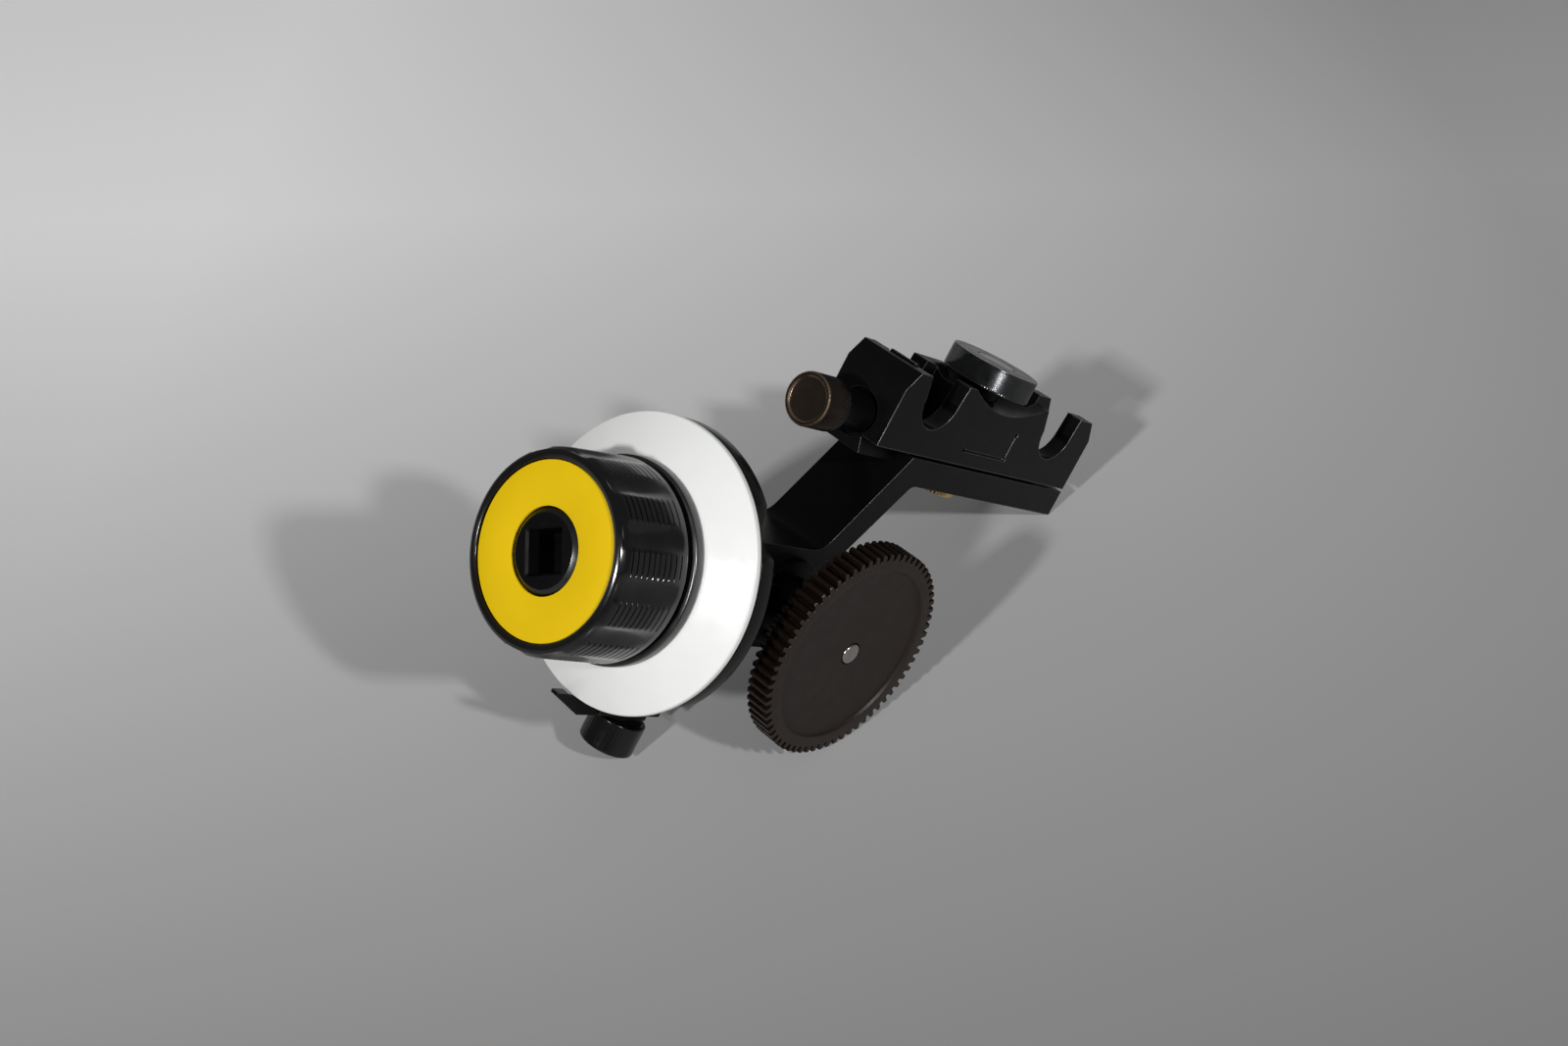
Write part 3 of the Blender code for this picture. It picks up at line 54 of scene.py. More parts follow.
GEAR_LINE = (-55.7, -59.2)
THUMB_LINE = (0.0, -10.6)
MIDDLE = (0.0, 0.0)
POINTER_PIVOT = (-78.3, 0.0)


# Material nodes
def node(tree, kind, settings=(), values=(), links=()):
    """Add a node, set its properties and socket values, and link sockets into it."""
    made = tree.nodes.new(kind)
    for key, value in dict(settings).items():
        setattr(made, key, value)
    for key, value in dict(values).items():
        made.inputs[key].default_value = value
    for key, socket in dict(links).items():
        tree.links.new(socket, made.inputs[key])
    return made


def noise(tree, place, feature, detail=3.0, rough=0.55):
    """Noise between 0 and 1 whose blobs are about `feature` millimetres wide."""
    values = {"Scale": 1.0 / (feature * MM), "Detail": detail, "Roughness": rough}
    return node(tree, "ShaderNodeTexNoise", values=values, links={"Vector": place}).outputs["Fac"]


def ramped(tree, fac, low, high, start=0.3, end=0.7):
    values = {"From Min": start, "From Max": end, "To Min": low, "To Max": high}
    return node(tree, "ShaderNodeMapRange", values=values, links={"Value": fac}).outputs["Result"]


def mixed(tree, fac, first, second):
    """Blend of two colours, each a tuple or a socket."""
    made = node(tree, "ShaderNodeMix", {"data_type": "RGBA"}, links={0: fac})
    for socket, colour in ((made.inputs[6], first), (made.inputs[7], second)):
        if isinstance(colour, tuple):
            socket.default_value = (*colour, 1.0)
        else:
            tree.links.new(colour, socket)
    return made.outputs[2]


def axis_distance(tree, place, axis, line):
    """Distance of a point from a line along `axis`, for marks left by turning."""
    x, y, z = {"X": (0.0, *line), "Y": (line[0], 0.0, line[1]), "Z": (*line, 0.0)}[axis]
    mask = {"X": (0.0, 1.0, 1.0), "Y": (1.0, 0.0, 1.0), "Z": (1.0, 1.0, 0.0)}[axis]
    offset = node(
        tree,
        "ShaderNodeVectorMath",
        {"operation": "SUBTRACT"},
        {1: (x * MM, y * MM, z * MM)},
        {0: place},
    ).outputs[0]
    flat = node(
        tree, "ShaderNodeVectorMath", {"operation": "MULTIPLY"}, {1: mask}, {0: offset}
    ).outputs[0]
    return node(
        tree, "ShaderNodeVectorMath", {"operation": "LENGTH"}, (), {0: flat}
    ).outputs["Value"]


def rings(tree, distance, pitch):
    """Fine concentric rings of about `pitch` millimetres."""
    width = node(
        tree, "ShaderNodeMath", {"operation": "MULTIPLY"}, {1: 1.0 / (pitch * MM)}, {0: distance}
    ).outputs[0]
    made = node(
        tree,
        "ShaderNodeTexNoise",
        {"noise_dimensions": "1D"},
        {"Scale": 1.0, "Detail": 2.0},
        {"W": width},
    )
    return made.outputs["Fac"]


def bumped(tree, layers):
    """Chain of bumps from (height socket, depth in millimetres)."""
    normal = None
    for height, depth in layers:
        links = {"Height": height}
        if normal is not None:
            links["Normal"] = normal
        made = node(
            tree, "ShaderNodeBump", (), {"Strength": 1.0, "Distance": depth * MM}, links
        )
        normal = made.outputs["Normal"]
    return normal


def finish(
    name,
    colour,
    roughness,
    metallic=0.0,
    other=None,
    patch=9.0,
    spread=0.05,
    grain=0.12,
    grain_depth=0.004,
    marks=None,
    marks_depth=0.004,
    nicks_and_glints=None,
    speck_feature=0.6,
    speck_start=0.64,
    coat=0.0,
    specular=0.5,
    anisotropy=0.0,
):
    """Procedural finish: patches of tone, changing gloss, grain, turning marks, and light specks
    that are partly wear and partly painted glints.
    """
    material = bpy.data.materials.new(name)
    material.use_nodes = True
    tree = material.node_tree
    shader = tree.nodes["Principled BSDF"]
    place = node(tree, "ShaderNodeTexCoord").outputs["Object"]
    other = other or tuple(0.72 * part for part in colour)
    tone = mixed(tree, ramped(tree, noise(tree, place, patch), 0.0, 1.0), colour, other)
    gloss = ramped(
        tree, noise(tree, place, 0.35 * patch, 4.0), roughness - spread, roughness + spread
    )
    grains = noise(tree, place, grain, 2.0)
    layers = [(grains, grain_depth)]
    if marks is not None:
        axis, line, pitch = marks
        ring = rings(tree, axis_distance(tree, place, axis, line), pitch)
        layers.append((ring, marks_depth))
        darker = tuple(0.86 * part for part in other)
        tone = mixed(tree, ramped(tree, ring, 0.0, 0.4), tone, darker)
    # Light specks: partly wear, partly painted glints.
    if nicks_and_glints is not None:
        speck_noise = noise(tree, place, speck_feature, 5.0, 0.7)
        speck_mask = ramped(tree, speck_noise, 0.0, 1.0, speck_start, speck_start + 0.07)
        tone = mixed(tree, speck_mask, tone, nicks_and_glints)
    tree.links.new(tone, shader.inputs["Base Color"])
    tree.links.new(gloss, shader.inputs["Roughness"])
    tree.links.new(bumped(tree, layers), shader.inputs["Normal"])
    shader.inputs["Metallic"].default_value = metallic
    shader.inputs["Coat Weight"].default_value = coat
    shader.inputs["Coat Roughness"].default_value = 0.12
    shader.inputs["Specular IOR Level"].default_value = specular
    shader.inputs["Anisotropic"].default_value = anisotropy
    return material


# Finishes
bare_metal = (0.30, 0.30, 0.31)
anodised = finish(
    "anodised", (0.0026, 0.0026, 0.0031), 0.36, grain=0.10, grain_depth=0.004, specular=0.14
)
# Lighter, metallic finishes for the bevelled edges: partly wear to bare metal, partly a painted
# highlight along every edge.
anodised_edge_wear_and_glint = finish(
    "anodised_edge_wear_and_glint", (0.060, 0.060, 0.063), 0.34, 0.9, nicks_and_glints=bare_metal, speck_start=0.60, grain=0.1
)
block_edge_wear_and_glint = finish(
    "block_edge_wear_and_glint", (0.115, 0.115, 0.12), 0.32, 0.9, nicks_and_glints=bare_metal, speck_start=0.60, grain=0.1
)
bore_black = finish("bore_black", (0.0030, 0.0030, 0.0033), 0.40, spread=0.10, specular=0.12)
slot_black = finish(
    "slot_black", (0.0025, 0.0025, 0.0030), 0.12, spread=0.05, grain_depth=0.002, specular=0.28
)
gloss_black = finish("gloss_black", (0.0045, 0.0045, 0.0050), 0.22, spread=0.05, specular=0.28)
wheel_black = finish(
    "wheel_black", (0.0028, 0.0028, 0.0031), 0.16, spread=0.03, grain_depth=0.001, specular=0.6
)
plated = finish("plated", (0.095, 0.098, 0.102), 0.20, 1.0, marks=("Z", MIDDLE, 0.10))
plated_top = finish("plated_top", (0.075, 0.076, 0.078), 0.30, 1.0, marks=("Z", MIDDLE, 0.08))
plated_flat = finish("plated_flat", (0.17, 0.172, 0.178), 0.34, 1.0)
plated_wheel = finish("plated_wheel", (0.10, 0.10, 0.103), 0.26, 1.0, marks=("X", WHEEL_LINE, 0.10))
hub_grey = finish(
    "hub_grey", (0.13, 0.13, 0.132), 0.32, 1.0, marks=("X", WHEEL_LINE, 0.10), anisotropy=0.4
)
knob_top = finish("knob_top", (0.42, 0.42, 0.43), 0.28, 1.0, marks=("Z", MIDDLE, 0.08))
bronze = finish(
    "bronze",
    (0.060, 0.042, 0.033),
    0.34,
    0.85,
    marks=("X", THUMB_LINE, 0.16),
    marks_depth=0.012,
    nicks_and_glints=(0.16, 0.12, 0.09),
    speck_start=0.68,
)
bronze_side = finish(
    "bronze_side", (0.034, 0.024, 0.018), 0.27, 0.9, nicks_and_glints=(0.22, 0.16, 0.11), speck_start=0.66
)
# Bright bronze for the rim of the head's face: a painted highlight.
bronze_rim_highlight = finish("bronze_rim_highlight", (0.34, 0.25, 0.17), 0.28, 0.95)
steel = finish("steel", (0.58, 0.57, 0.55), 0.26, 1.0)
pin_steel = finish("pin_steel", (0.50, 0.48, 0.455), 0.24, 1.0, marks=("Y", GEAR_LINE, 0.08))
brass = finish("brass", (0.62, 0.47, 0.22), 0.30, 1.0, nicks_and_glints=(0.75, 0.62, 0.36))
gear_brown = finish(
    "gear_brown",
    (0.0150, 0.0100, 0.0074),
    0.40,
    other=(0.0115, 0.0078, 0.0058),
    specular=0.26,
    marks=("Y", GEAR_LINE, 0.22),
    marks_depth=0.006,
    nicks_and_glints=(0.05, 0.042, 0.036),
    speck_start=0.66,
)
# Darker teeth flanks and tips are painted shade for how the teeth face the light, and their light
# specks are painted glints.
gear_tooth_shade_and_glint = finish(
    "gear_tooth_shade_and_glint",
    (0.0080, 0.0046, 0.0030),
    0.27,
    patch=3.0,
    spread=0.10,
    specular=0.22,
    nicks_and_glints=(0.16, 0.11, 0.08),
    speck_feature=0.5,
    speck_start=0.66,
)
gear_rim = finish(
    "gear_rim",
    (0.0185, 0.0115, 0.0085),
    0.40,
    other=(0.0140, 0.0088, 0.0064),
    specular=0.28,
    nicks_and_glints=(0.12, 0.09, 0.07),
    speck_start=0.69,
)
lock_black = finish(
    "lock_black", (0.0030, 0.0030, 0.0034), 0.19, spread=0.03, grain_depth=0.001, specular=0.38
)
disc_white = finish(
    "disc_white", (0.86, 0.87, 0.85), 0.22, other=(0.84, 0.85, 0.83), grain_depth=0.001, coat=0.3
)
face_yellow = finish(
    "face_yellow",
    (0.79, 0.53, 0.002),
    0.48,
    other=(0.77, 0.51, 0.002),
    grain_depth=0.002,
    specular=0.2,
)


# Mesh building
def new_piece(name, body, nodes, vertices, faces, materials, sharp_degrees=32.0):
    """Closed piece in the row frame that rides on a body and stands for CAD nodes."""
    mesh = bpy.data.meshes.new(name)
    mesh.from_pydata([tuple(point) for point in vertices], [], faces)
    shape = bmesh.new()
    shape.from_mesh(mesh)
    bmesh.ops.recalc_face_normals(shape, faces=shape.faces)
    shape.to_mesh(mesh)
    shape.free()
    mesh.shade_smooth()
    mesh.set_sharp_from_angle(angle=math.radians(sharp_degrees))
    for material in materials:
        mesh.materials.append(material)
    piece = bpy.data.objects.new(name, mesh)
    bpy.context.scene.collection.objects.link(piece)
    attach(piece, body)
    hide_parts(*nodes)
    return piece


def filleted(outline, closed):
    """Round the corners of an outline whose points carry a third value, the fillet's radius."""
    count = len(outline)
    rounded = []
    for index, point in enumerate(outline):
        inside = closed or 0 < index < count - 1
        if len(point) < 3 or not inside:
            rounded.append(point[:2])
            continue
        corner = Vector(point[:2])
        before = Vector(outline[index - 1][:2]) - corner
        after = Vector(outline[(index + 1) % count][:2]) - corner
        half = 0.5 * before.angle(after)
        reach = min(point[2] / math.tan(half), 0.45 * before.length, 0.45 * after.length)
        radius = reach * math.tan(half)
        centre = corner + (before.normalized() + after.normalized()).normalized() * (
            radius / math.sin(half)
        )
        first = corner + before.normalized() * reach - centre
        last = corner + after.normalized() * reach - centre
        start = math.atan2(first.y, first.x)
        sweep = (math.atan2(last.y, last.x) - start + math.pi) % (2.0 * math.pi) - math.pi
        steps = 5 if radius > 0.6 else 3
        for step in range(steps + 1):
            angle = start + sweep * step / steps
            rounded.append(
                (centre.x + radius * math.cos(angle), centre.y + radius * math.sin(angle))
            )
    return rounded


def lathe(
    name, body, nodes, materials, axis, line, outline, columns=96, reach=None, start=0.0
):
    """Turn (radius, position) points round a line along `axis`.

    An outline whose ends have no radius gives a solid, and any other outline a ring. `columns` is
    a count or an array of angles. `reach` changes the radii of all columns and rows at once.
    """
    solid = outline[0][0] == 0.0 and outline[-1][0] == 0.0
    points = filleted(outline, not solid)
    ends = (points[0][1], points[-1][1])
    if solid:
        points = points[1:-1]
    if isinstance(columns, int):
        columns = math.radians(start) + np.arange(columns) * (2.0 * math.pi / columns)
    rows = len(points)
    count = len(columns)
    angle = np.repeat(columns[:, None], rows, 1)
    radius = np.repeat(np.array([point[0] for point in points])[None, :], count, 0)
    height = np.repeat(np.array([point[1] for point in points])[None, :], count, 0)
    if reach is not None:
        radius = reach(angle, height, radius)
    u = radius * np.cos(angle)
    v = radius * np.sin(angle)
    order = {
        "X": (height, u + line[0], v + line[1]),
        "Y": (u + line[0], height, v + line[1]),
        "Z": (u + line[0], v + line[1], height),
    }[axis]
    vertices = (np.stack(order, -1).reshape(-1, 3) * MM).tolist()
    faces = []
    links = rows - 1 if solid else rows
    for column in range(count):
        here = column * rows
        there = ((column + 1) % count) * rows
        for index in range(links):
            after = (index + 1) % rows
            faces.append((here + index, there + index, there + after, here + after))
    if solid:
        for end, index in zip(ends, (0, rows - 1)):
            tip = {"X": (end, *line), "Y": (line[0], end, line[1]), "Z": (*line, end)}[axis]
            vertices.append([part * MM for part in tip])
            for column in range(count):
                there = ((column + 1) % count) * rows
                faces.append((len(vertices) - 1, column * rows + index, there + index))
    return new_piece(name, body, nodes, vertices, faces, materials)


def painted_where(piece, material, test):
    """Give the faces whose middle, in millimetres, and normal pass a test their own finish."""
    piece.data.materials.append(material)
    for polygon in piece.data.polygons:
        if test(polygon.center / MM, polygon.normal):
            polygon.material_index = len(piece.data.materials) - 1


def painted(piece, axis, low, high, material):
    """Give the faces between two places along an axis, in millimetres, their own finish."""
    index = "XYZ".index(axis)
    painted_where(piece, material, lambda middle, normal: low < middle[index] < high)


def from_line(middle, line, first, second):
    """Distance of a face's middle from a line, across the two named axes."""
    return math.hypot(middle[first] - line[0], middle[second] - line[1])


def ribbed(ribs, depth, from_radius):
    """Straight knurl on every row beyond a radius. It takes four columns a rib."""

    def reach(angle, height, radius):
        wave = np.abs(((angle * ribs / (2.0 * math.pi)) % 1.0) - 0.5) * 2.0
        return np.where(radius > from_radius, radius - depth * wave, radius)

    return reach


def bevelled(node_name, body, width, degrees=35.0, main=None, edge=None, reshape=None):
    """CAD solid with its flat faces merged and every hard edge broken by a small bevel, whose
    lighter finish is partly wear and partly a painted highlight.
    """
    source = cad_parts[node_name]
    shape = bmesh.new()
    shape.from_mesh(source.data)
    bmesh.ops.remove_doubles(shape, verts=shape.verts, dist=0.002 * MM)
    if reshape is not None:
        for vertex in shape.verts:
            vertex.co.z = reshape(*(vertex.co / MM)) * MM
    bmesh.ops.dissolve_limit(
        shape, angle_limit=math.radians(0.7), verts=shape.verts, edges=shape.edges
    )
    shape.verts.index_update()
    vertices = [vertex.co.to_tuple() for vertex in shape.verts]
    faces = [tuple(vertex.index for vertex in face.verts) for face in shape.faces]
    shape.free()
    piece = new_piece(
        node_name + "_body",
        body,
        [node_name],
        vertices,
        faces,
        [main or anodised, edge or anodised_edge_wear_and_glint],
        180.0,
    )
    modifier = piece.modifiers.new("Broken edges", "BEVEL")
    modifier.width = width * MM
    modifier.segments = 2
    modifier.limit_method = "ANGLE"
    modifier.angle_limit = math.radians(degrees)
    modifier.use_clamp_overlap = False
    modifier.harden_normals = True
    # The bevel faces take the lighter edge finish: wear and a painted highlight.
    modifier.material = 1
    return piece


BLOCK_TOP = 5.8
DISH_BOTTOM = 0.5
DISH_RIM = 20.9
DISH_FLOOR_RIM = 9.7
KNOB_EDGE = 12.9
UNDER_KNOB = 5.3
LIP_START = 3.0
LIP_RUN = 3.5
BLADE_CORNER = (-99.5, -98.3)
BLADE_WEB_TOP = -95.8
SAME_PLACE = 0.06
SLOT_OFFSET = 30.0
SLOT_REACH = 8.2


def far_lip(x, y, z):
    """Height of the block's dish with the lip that closes it on the side away from the viewer."""
    radius = math.hypot(x, y)
    in_dish = DISH_BOTTOM < z < BLOCK_TOP and abs(x) < DISH_RIM and radius > DISH_FLOOR_RIM
    if not in_dish or y <= LIP_START:
        return z
    top = BLOCK_TOP if radius > KNOB_EDGE else UNDER_KNOB
    share = min((y - LIP_START) / LIP_RUN, 1.0)
    return z + (top - z) * share * share * (3.0 - 2.0 * share)


def blade_web(x, y, z):
    """Height of the pointer with a web in the corner between its blade and its arm."""
    at_corner = abs(x - BLADE_CORNER[0]) < SAME_PLACE and abs(z - BLADE_CORNER[1]) < SAME_PLACE
    return BLADE_WEB_TOP if at_corner else z


# Rod clamp, arm and gear box
block = bevelled(
    "clamp_block", "rod_clamp", 0.20, edge=block_edge_wear_and_glint, reshape=far_lip
)
painted_where(
    block,
    slot_black,
    lambda middle, normal: abs(normal.y) < 0.1
    and math.hypot(abs(middle.x) - SLOT_OFFSET, middle.z) < SLOT_REACH,
)
for name, body, width in (
    ("gearbox_housing", "arm", 0.16),
    ("gearbox_cover", "arm", 0.12),
    ("barrel_plate", "arm", 0.16),
    ("index_bracket", "arm", 0.14),
    ("rod_pad", "rod_pad", 0.14),
):
    bevelled(name, body, width)
bevelled("index_pointer", "pointer", 0.14, reshape=blade_web)
bevelled("slide_rail", "rod_clamp", 0.12)


KNURLS = 96
KNURL_DEPTH = 0.15
KNURL_PITCH = 0.28
KNURL_ROWS = [6.25 + KNURL_PITCH * step for step in range(20)]


def knob_reach(angle, height, radius):
    """Diamond knurl: each row's ribs stand half a rib beside those of the row before."""
    row = np.round((height - KNURL_ROWS[0]) / KNURL_PITCH)
    wave = np.abs(((angle * KNURLS / (2.0 * math.pi) + 0.5 * row) % 1.0) - 0.5) * 2.0
    band = (height > KNURL_ROWS[0] - 0.02) & (height < KNURL_ROWS[-1] + 0.02)
    return np.where((radius > 12.2) & band, radius - KNURL_DEPTH * wave, radius)


knob = lathe(
    "clamp_knob_turned",
    "clamp_screw",
    ["clamp_knob"],
    [plated],
    "Z",
    MIDDLE,
    [
        (3.3, 2.16),
        (5.0, 2.16, 0.2),
        (5.0, 5.7, 0.3),
        (12.4, 5.7, 0.5),
        *((12.4, row) for row in KNURL_ROWS),
        (12.4, 12.1, 0.35),
        (5.5, 12.1, 0.1),
        (5.5, 11.0),
        (3.3, 11.0),
    ],
    4 * KNURLS,
    knob_reach,
)
knob.data.set_sharp_from_angle(angle=math.radians(12.0))
painted(knob, "Z", 2.0, 5.75, anodised)
painted(knob, "Z", 12.08, 12.12, plated_top)
lathe(
    "clamp_knob_disc",
    "clamp_screw",
    ["clamp_knob_cap"],
    [knob_top],
    "Z",
    MIDDLE,
    [(0.0, 11.3), (5.2, 11.3), (5.2, 12.1, 0.15), (0.0, 12.1)],
)
lathe(
    "clamp_nut_turned",
    "clamp_nut",
    ["clamp_nut"],
    [brass],
    "Z",
    MIDDLE,
    [(3.3, -26.1, 0.3), (6.6, -26.1, 0.5), (6.6, -23.7, 0.2), (3.3, -23.7)],
    160,
    ribbed(40, 0.25, 6.4),
)
screw = lathe(
    "thumb_screw_turned",
    "thumb_screw",
    ["thumb_knob"],
    [bronze],
    "X",
    THUMB_LINE,
    [
        (0.0, -68.5),
        (5.4, -68.5, 0.2),
        (5.8, -68.9, 0.1),
        (6.8, -68.9, 0.5),
        (6.8, -59.7, 0.3),
        (5.2, -59.4, 0.3),
        (5.2, -47.0, 0.1),
        (2.3, -47.0),
        (2.3, -55.0),
        (0.0, -55.0),
    ],
    320,
    ribbed(80, 0.14, 6.7),
)
# Painted highlight on the rim of the head's face and the wall of its recess.
painted(screw, "X", -68.89, -68.51, bronze_rim_highlight)
painted(screw, "X", -68.20, -59.70, bronze_side)
painted(screw, "X", -59.2, -46.0, anodised)

# Drive gear line
TOOTH_FLANK = (
    (-0.50, 26.20),
    (-0.40, 26.20),
    (-0.335, 26.34),
    (-0.295, 26.75),
    (-0.26, 27.20),
    (-0.22, 27.62),
    (-0.185, 27.92),
    (-0.15, 28.00),
)
TEETH = 68
pitch_angle = 2.0 * math.pi / TEETH
shares = np.array([share for share, _ in TOOTH_FLANK] + [-share for share, _ in TOOTH_FLANK[:0:-1]])
flank_radii = np.array([r for _, r in TOOTH_FLANK] + [r for _, r in TOOTH_FLANK[:0:-1]])
gear_angles = (np.arange(TEETH)[:, None] + shares[None, :]).reshape(-1) * pitch_angle


def tooth_reach(angle, height, radius):
    share = (angle / pitch_angle + 0.5) % 1.0 - 0.5
    outer = np.interp(
        share, np.append(shares, 0.5), np.append(flank_radii, flank_radii[0])
    )
    return np.where(radius > 27.0, outer - (28.0 - radius), radius)


gear = lathe(
    "drive_gear_cut",
    "gear",
    ["drive_gear"],
    [gear_brown],
    "Y",
    GEAR_LINE,
    [
        (3.0, -36.4),
        (22.9, -36.4, 0.5),
        (23.4, -37.2, 0.25),
        (24.9, -37.2),
        (27.82, -37.2),
        (28.0, -37.02),
        (28.0, -30.58),
        (27.82, -30.4),
        (24.0, -30.4),
        (3.0, -30.4),
    ],
    gear_angles,
    tooth_reach,
)


def on_teeth(middle, normal):
    return from_line(middle, GEAR_LINE, 0, 2) > 25.5 and abs(normal.y) < 0.5


def on_rim(middle, normal):
    raised = from_line(middle, GEAR_LINE, 0, 2) > 23.3 and middle.y < -37.1
    return raised and not on_teeth(middle, normal)


# Teeth: painted shade and painted glints.
painted_where(gear, gear_tooth_shade_and_glint, on_teeth)
painted_where(gear, gear_rim, on_rim)
lathe(
    "gear_hub_turned",
    "gear",
    ["gear_hub"],
    [plated_flat],
    "Y",
    GEAR_LINE,
    [(3.0, -30.1), (9.0, -30.1, 0.2), (9.0, -23.9, 0.4), (3.0, -23.9, 0.2)],
    72,
)
lathe(
    "output_shaft_turned",
    "gear",
    ["output_shaft"],
    [pin_steel],
    "Y",
    GEAR_LINE,
    [(0.0, -36.8), (2.7, -36.8, 0.45), (2.7, -8.5), (2.4, -8.5), (2.4, -5.07), (0.0, -5.07)],
    48,
)
lathe(
    "output_bush_turned",
    "arm",
    ["output_bush"],
    [bore_black],
    "Y",
    GEAR_LINE,
    [
        (5.7, -8.1),
        (7.0, -8.1),
        (7.0, -10.6),
        (11.6, -10.6, 0.2),
        (11.6, -12.6, 0.3),
        (7.8, -12.6, 0.3),
        (7.8, -21.5, 0.5),
        (5.7, -21.5, 0.2),
    ],
)
lathe(
    "wheel_barrel_turned",
    "arm",
    ["wheel_barrel"],
    [anodised],
    "X",
    WHEEL_LINE,
    [
        (8.2, -92.2, 0.2),
        (10.0, -92.2, 0.4),
        (10.0, -79.3, 0.2),
        (9.1, -79.3),
        (9.1, -76.3),
        (8.2, -76.3),
    ],
)

# Hand wheel
GROOVES = 10
GROOVE_FIRST = -128.3
GROOVE_PITCH = 1.78
GROOVE_WIDTH = 0.40
GROOVE_DEPTH = 0.35
GROOVE_FLANK = 0.10
LAND_FRONT = -130.1
LAND_LENGTH = 19.8
LAND_RADIUS = 23.6
LAND_RISE = 0.4
SCALLOPS = 12
SCALLOP_TURN = 20.4
SCALLOP_HALF = 7.9
SCALLOP_DEPTH = 1.0
SCALLOP_FRONT = -131.0
SCALLOP_RUN = 1.6
SCALLOP_BACK = -110.6
SCALLOP_FADE = 13.0


def land_radius(height):
    return LAND_RADIUS + LAND_RISE * (height - LAND_FRONT) / LAND_LENGTH


groove_rows = []
for number in range(GROOVES):
    left = GROOVE_FIRST + number * GROOVE_PITCH
    groove_rows += [
        (land_radius(left), left),
        (land_radius(left) - GROOVE_DEPTH, left + GROOVE_FLANK),
        (land_radius(left) - GROOVE_DEPTH, left + GROOVE_WIDTH - GROOVE_FLANK),
        (land_radius(left), left + GROOVE_WIDTH),
    ]


def wheel_reach(angle, height, radius):
    """Finger scallops between the grooved lands. They fade towards both ends of the wheel."""
    spacing = 360.0 / SCALLOPS
    offset = (np.degrees(angle) - SCALLOP_TURN + 0.5 * spacing) % spacing - 0.5 * spacing
    share = np.clip(np.abs(offset) / SCALLOP_HALF, 0.0, 1.0)
    run = np.clip((height - SCALLOP_FRONT) / SCALLOP_RUN, 0.0, 1.0)
    fade = np.clip((SCALLOP_BACK - height) / SCALLOP_FADE, 0.0, 1.0)
    hollow = SCALLOP_DEPTH * (1.0 - share**2) * run * (2.0 - run) * fade**0.6
    grooved = (height > GROOVE_FIRST - 0.1) & (height < GROOVE_FIRST + GROOVES * GROOVE_PITCH)
    smooth = np.where(grooved, land_radius(height), radius)
    return np.where((radius > 21.6) & (share < 0.99), smooth - hollow, radius)


lathe(
    "hand_wheel_moulded",
    "wheel",
    ["hand_wheel"],
    [wheel_black],
    "X",
    WHEEL_LINE,
    [
        (4.3, -119.8),
        (10.1, -119.8),
        (10.1, -129.9, 0.1),
        (20.7, -129.9),
        (20.7, -131.3, 0.2),
        (21.8, -131.7, 0.5),
        (22.6, -131.3, 0.6),
        (22.85, -130.9),
        (23.15, -130.4),
        (23.4, -129.9),
        (23.55, -129.4),
        (23.62, -128.9),
    ]
    + groove_rows
    + [
        (24.0, -109.5, 0.8),
        (20.8, -109.5, 0.4),
        (20.8, -125.9, 0.5),
        (12.5, -125.9, 0.5),
        (12.5, -109.5, 0.3),
        (4.3, -109.5),
    ],
    240,
    wheel_reach,
)
lathe(
    "face_plate_flat",
    "wheel",
    ["face_plate"],
    [face_yellow],
    "X",
    WHEEL_LINE,
    [(10.1, -130.9, 0.08), (20.4, -130.9, 0.12), (20.4, -130.2), (10.1, -130.2)],
    120,
)


SOCKET_TURN = 56.3
SOCKET_CORNER = 1.38
SOCKET_RIM = 8.4


def square_reach(angle, height, radius):
    """Square hole: the outline's inner radii are half the square's side."""
    across = np.degrees(angle) - SOCKET_TURN
    turned = np.radians((across + 45.0) % 90.0 - 45.0)
    wall = np.minimum(radius / np.cos(turned), SOCKET_CORNER * radius)
    return np.where(radius < 6.5, wall, radius)


socket = lathe(
    "crank_socket_broached",
    "wheel",
    ["crank_socket"],
    [plated_wheel],
    "X",
    WHEEL_LINE,
    [
        (0.0, -122.1),
        (5.0, -122.1),
        (5.0, -130.5),
        (5.5, -131.1),
        (8.6, -131.1, 0.1),
        (9.8, -130.3, 0.3),
        (9.8, -120.1),
        (0.0, -120.1),
    ],
    192,
    square_reach,
    SOCKET_TURN + 45.0,
)
painted_where(
    socket, bore_black, lambda middle, normal: from_line(middle, WHEEL_LINE, 1, 2) < SOCKET_RIM
)
lathe(
    "wheel_hub_turned",
    "wheel",
    ["wheel_hub"],
    [hub_grey],
    "X",
    WHEEL_LINE,
    [
        (4.3, -108.0),
        (24.6, -108.0, 0.5),
        (24.6, -105.2, 0.5),
        (14.0, -105.2),
        (14.0, -97.9, 0.2),
        (4.3, -97.9),
    ],
)
lathe(
    "marking_disc_moulded",
    "disc",
    ["marking_disc"],
    [disc_white],
    "X",
    WHEEL_LINE,
    [
        (14.4, -104.9),
        (25.0, -104.9, 3.0),
        (35.7, -100.4, 0.8),
        (35.7, -98.2, 0.5),
        (25.0, -102.7),
        (14.4, -102.7),
    ],
    180,
)


NOTCH_TURN = 48.0
NOTCH_HALF = 10.0
NOTCH_DEPTH = 2.8


def notch_reach(angle, height, radius):
    """Four finger notches in the grip ring's edge."""
    offset = (np.degrees(angle) - NOTCH_TURN + 45.0) % 90.0 - 45.0
    share = np.clip(np.abs(offset) / NOTCH_HALF, 0.0, 1.0)
    return np.where(radius > 34.5, radius - NOTCH_DEPTH * np.cos(0.5 * math.pi * share), radius)


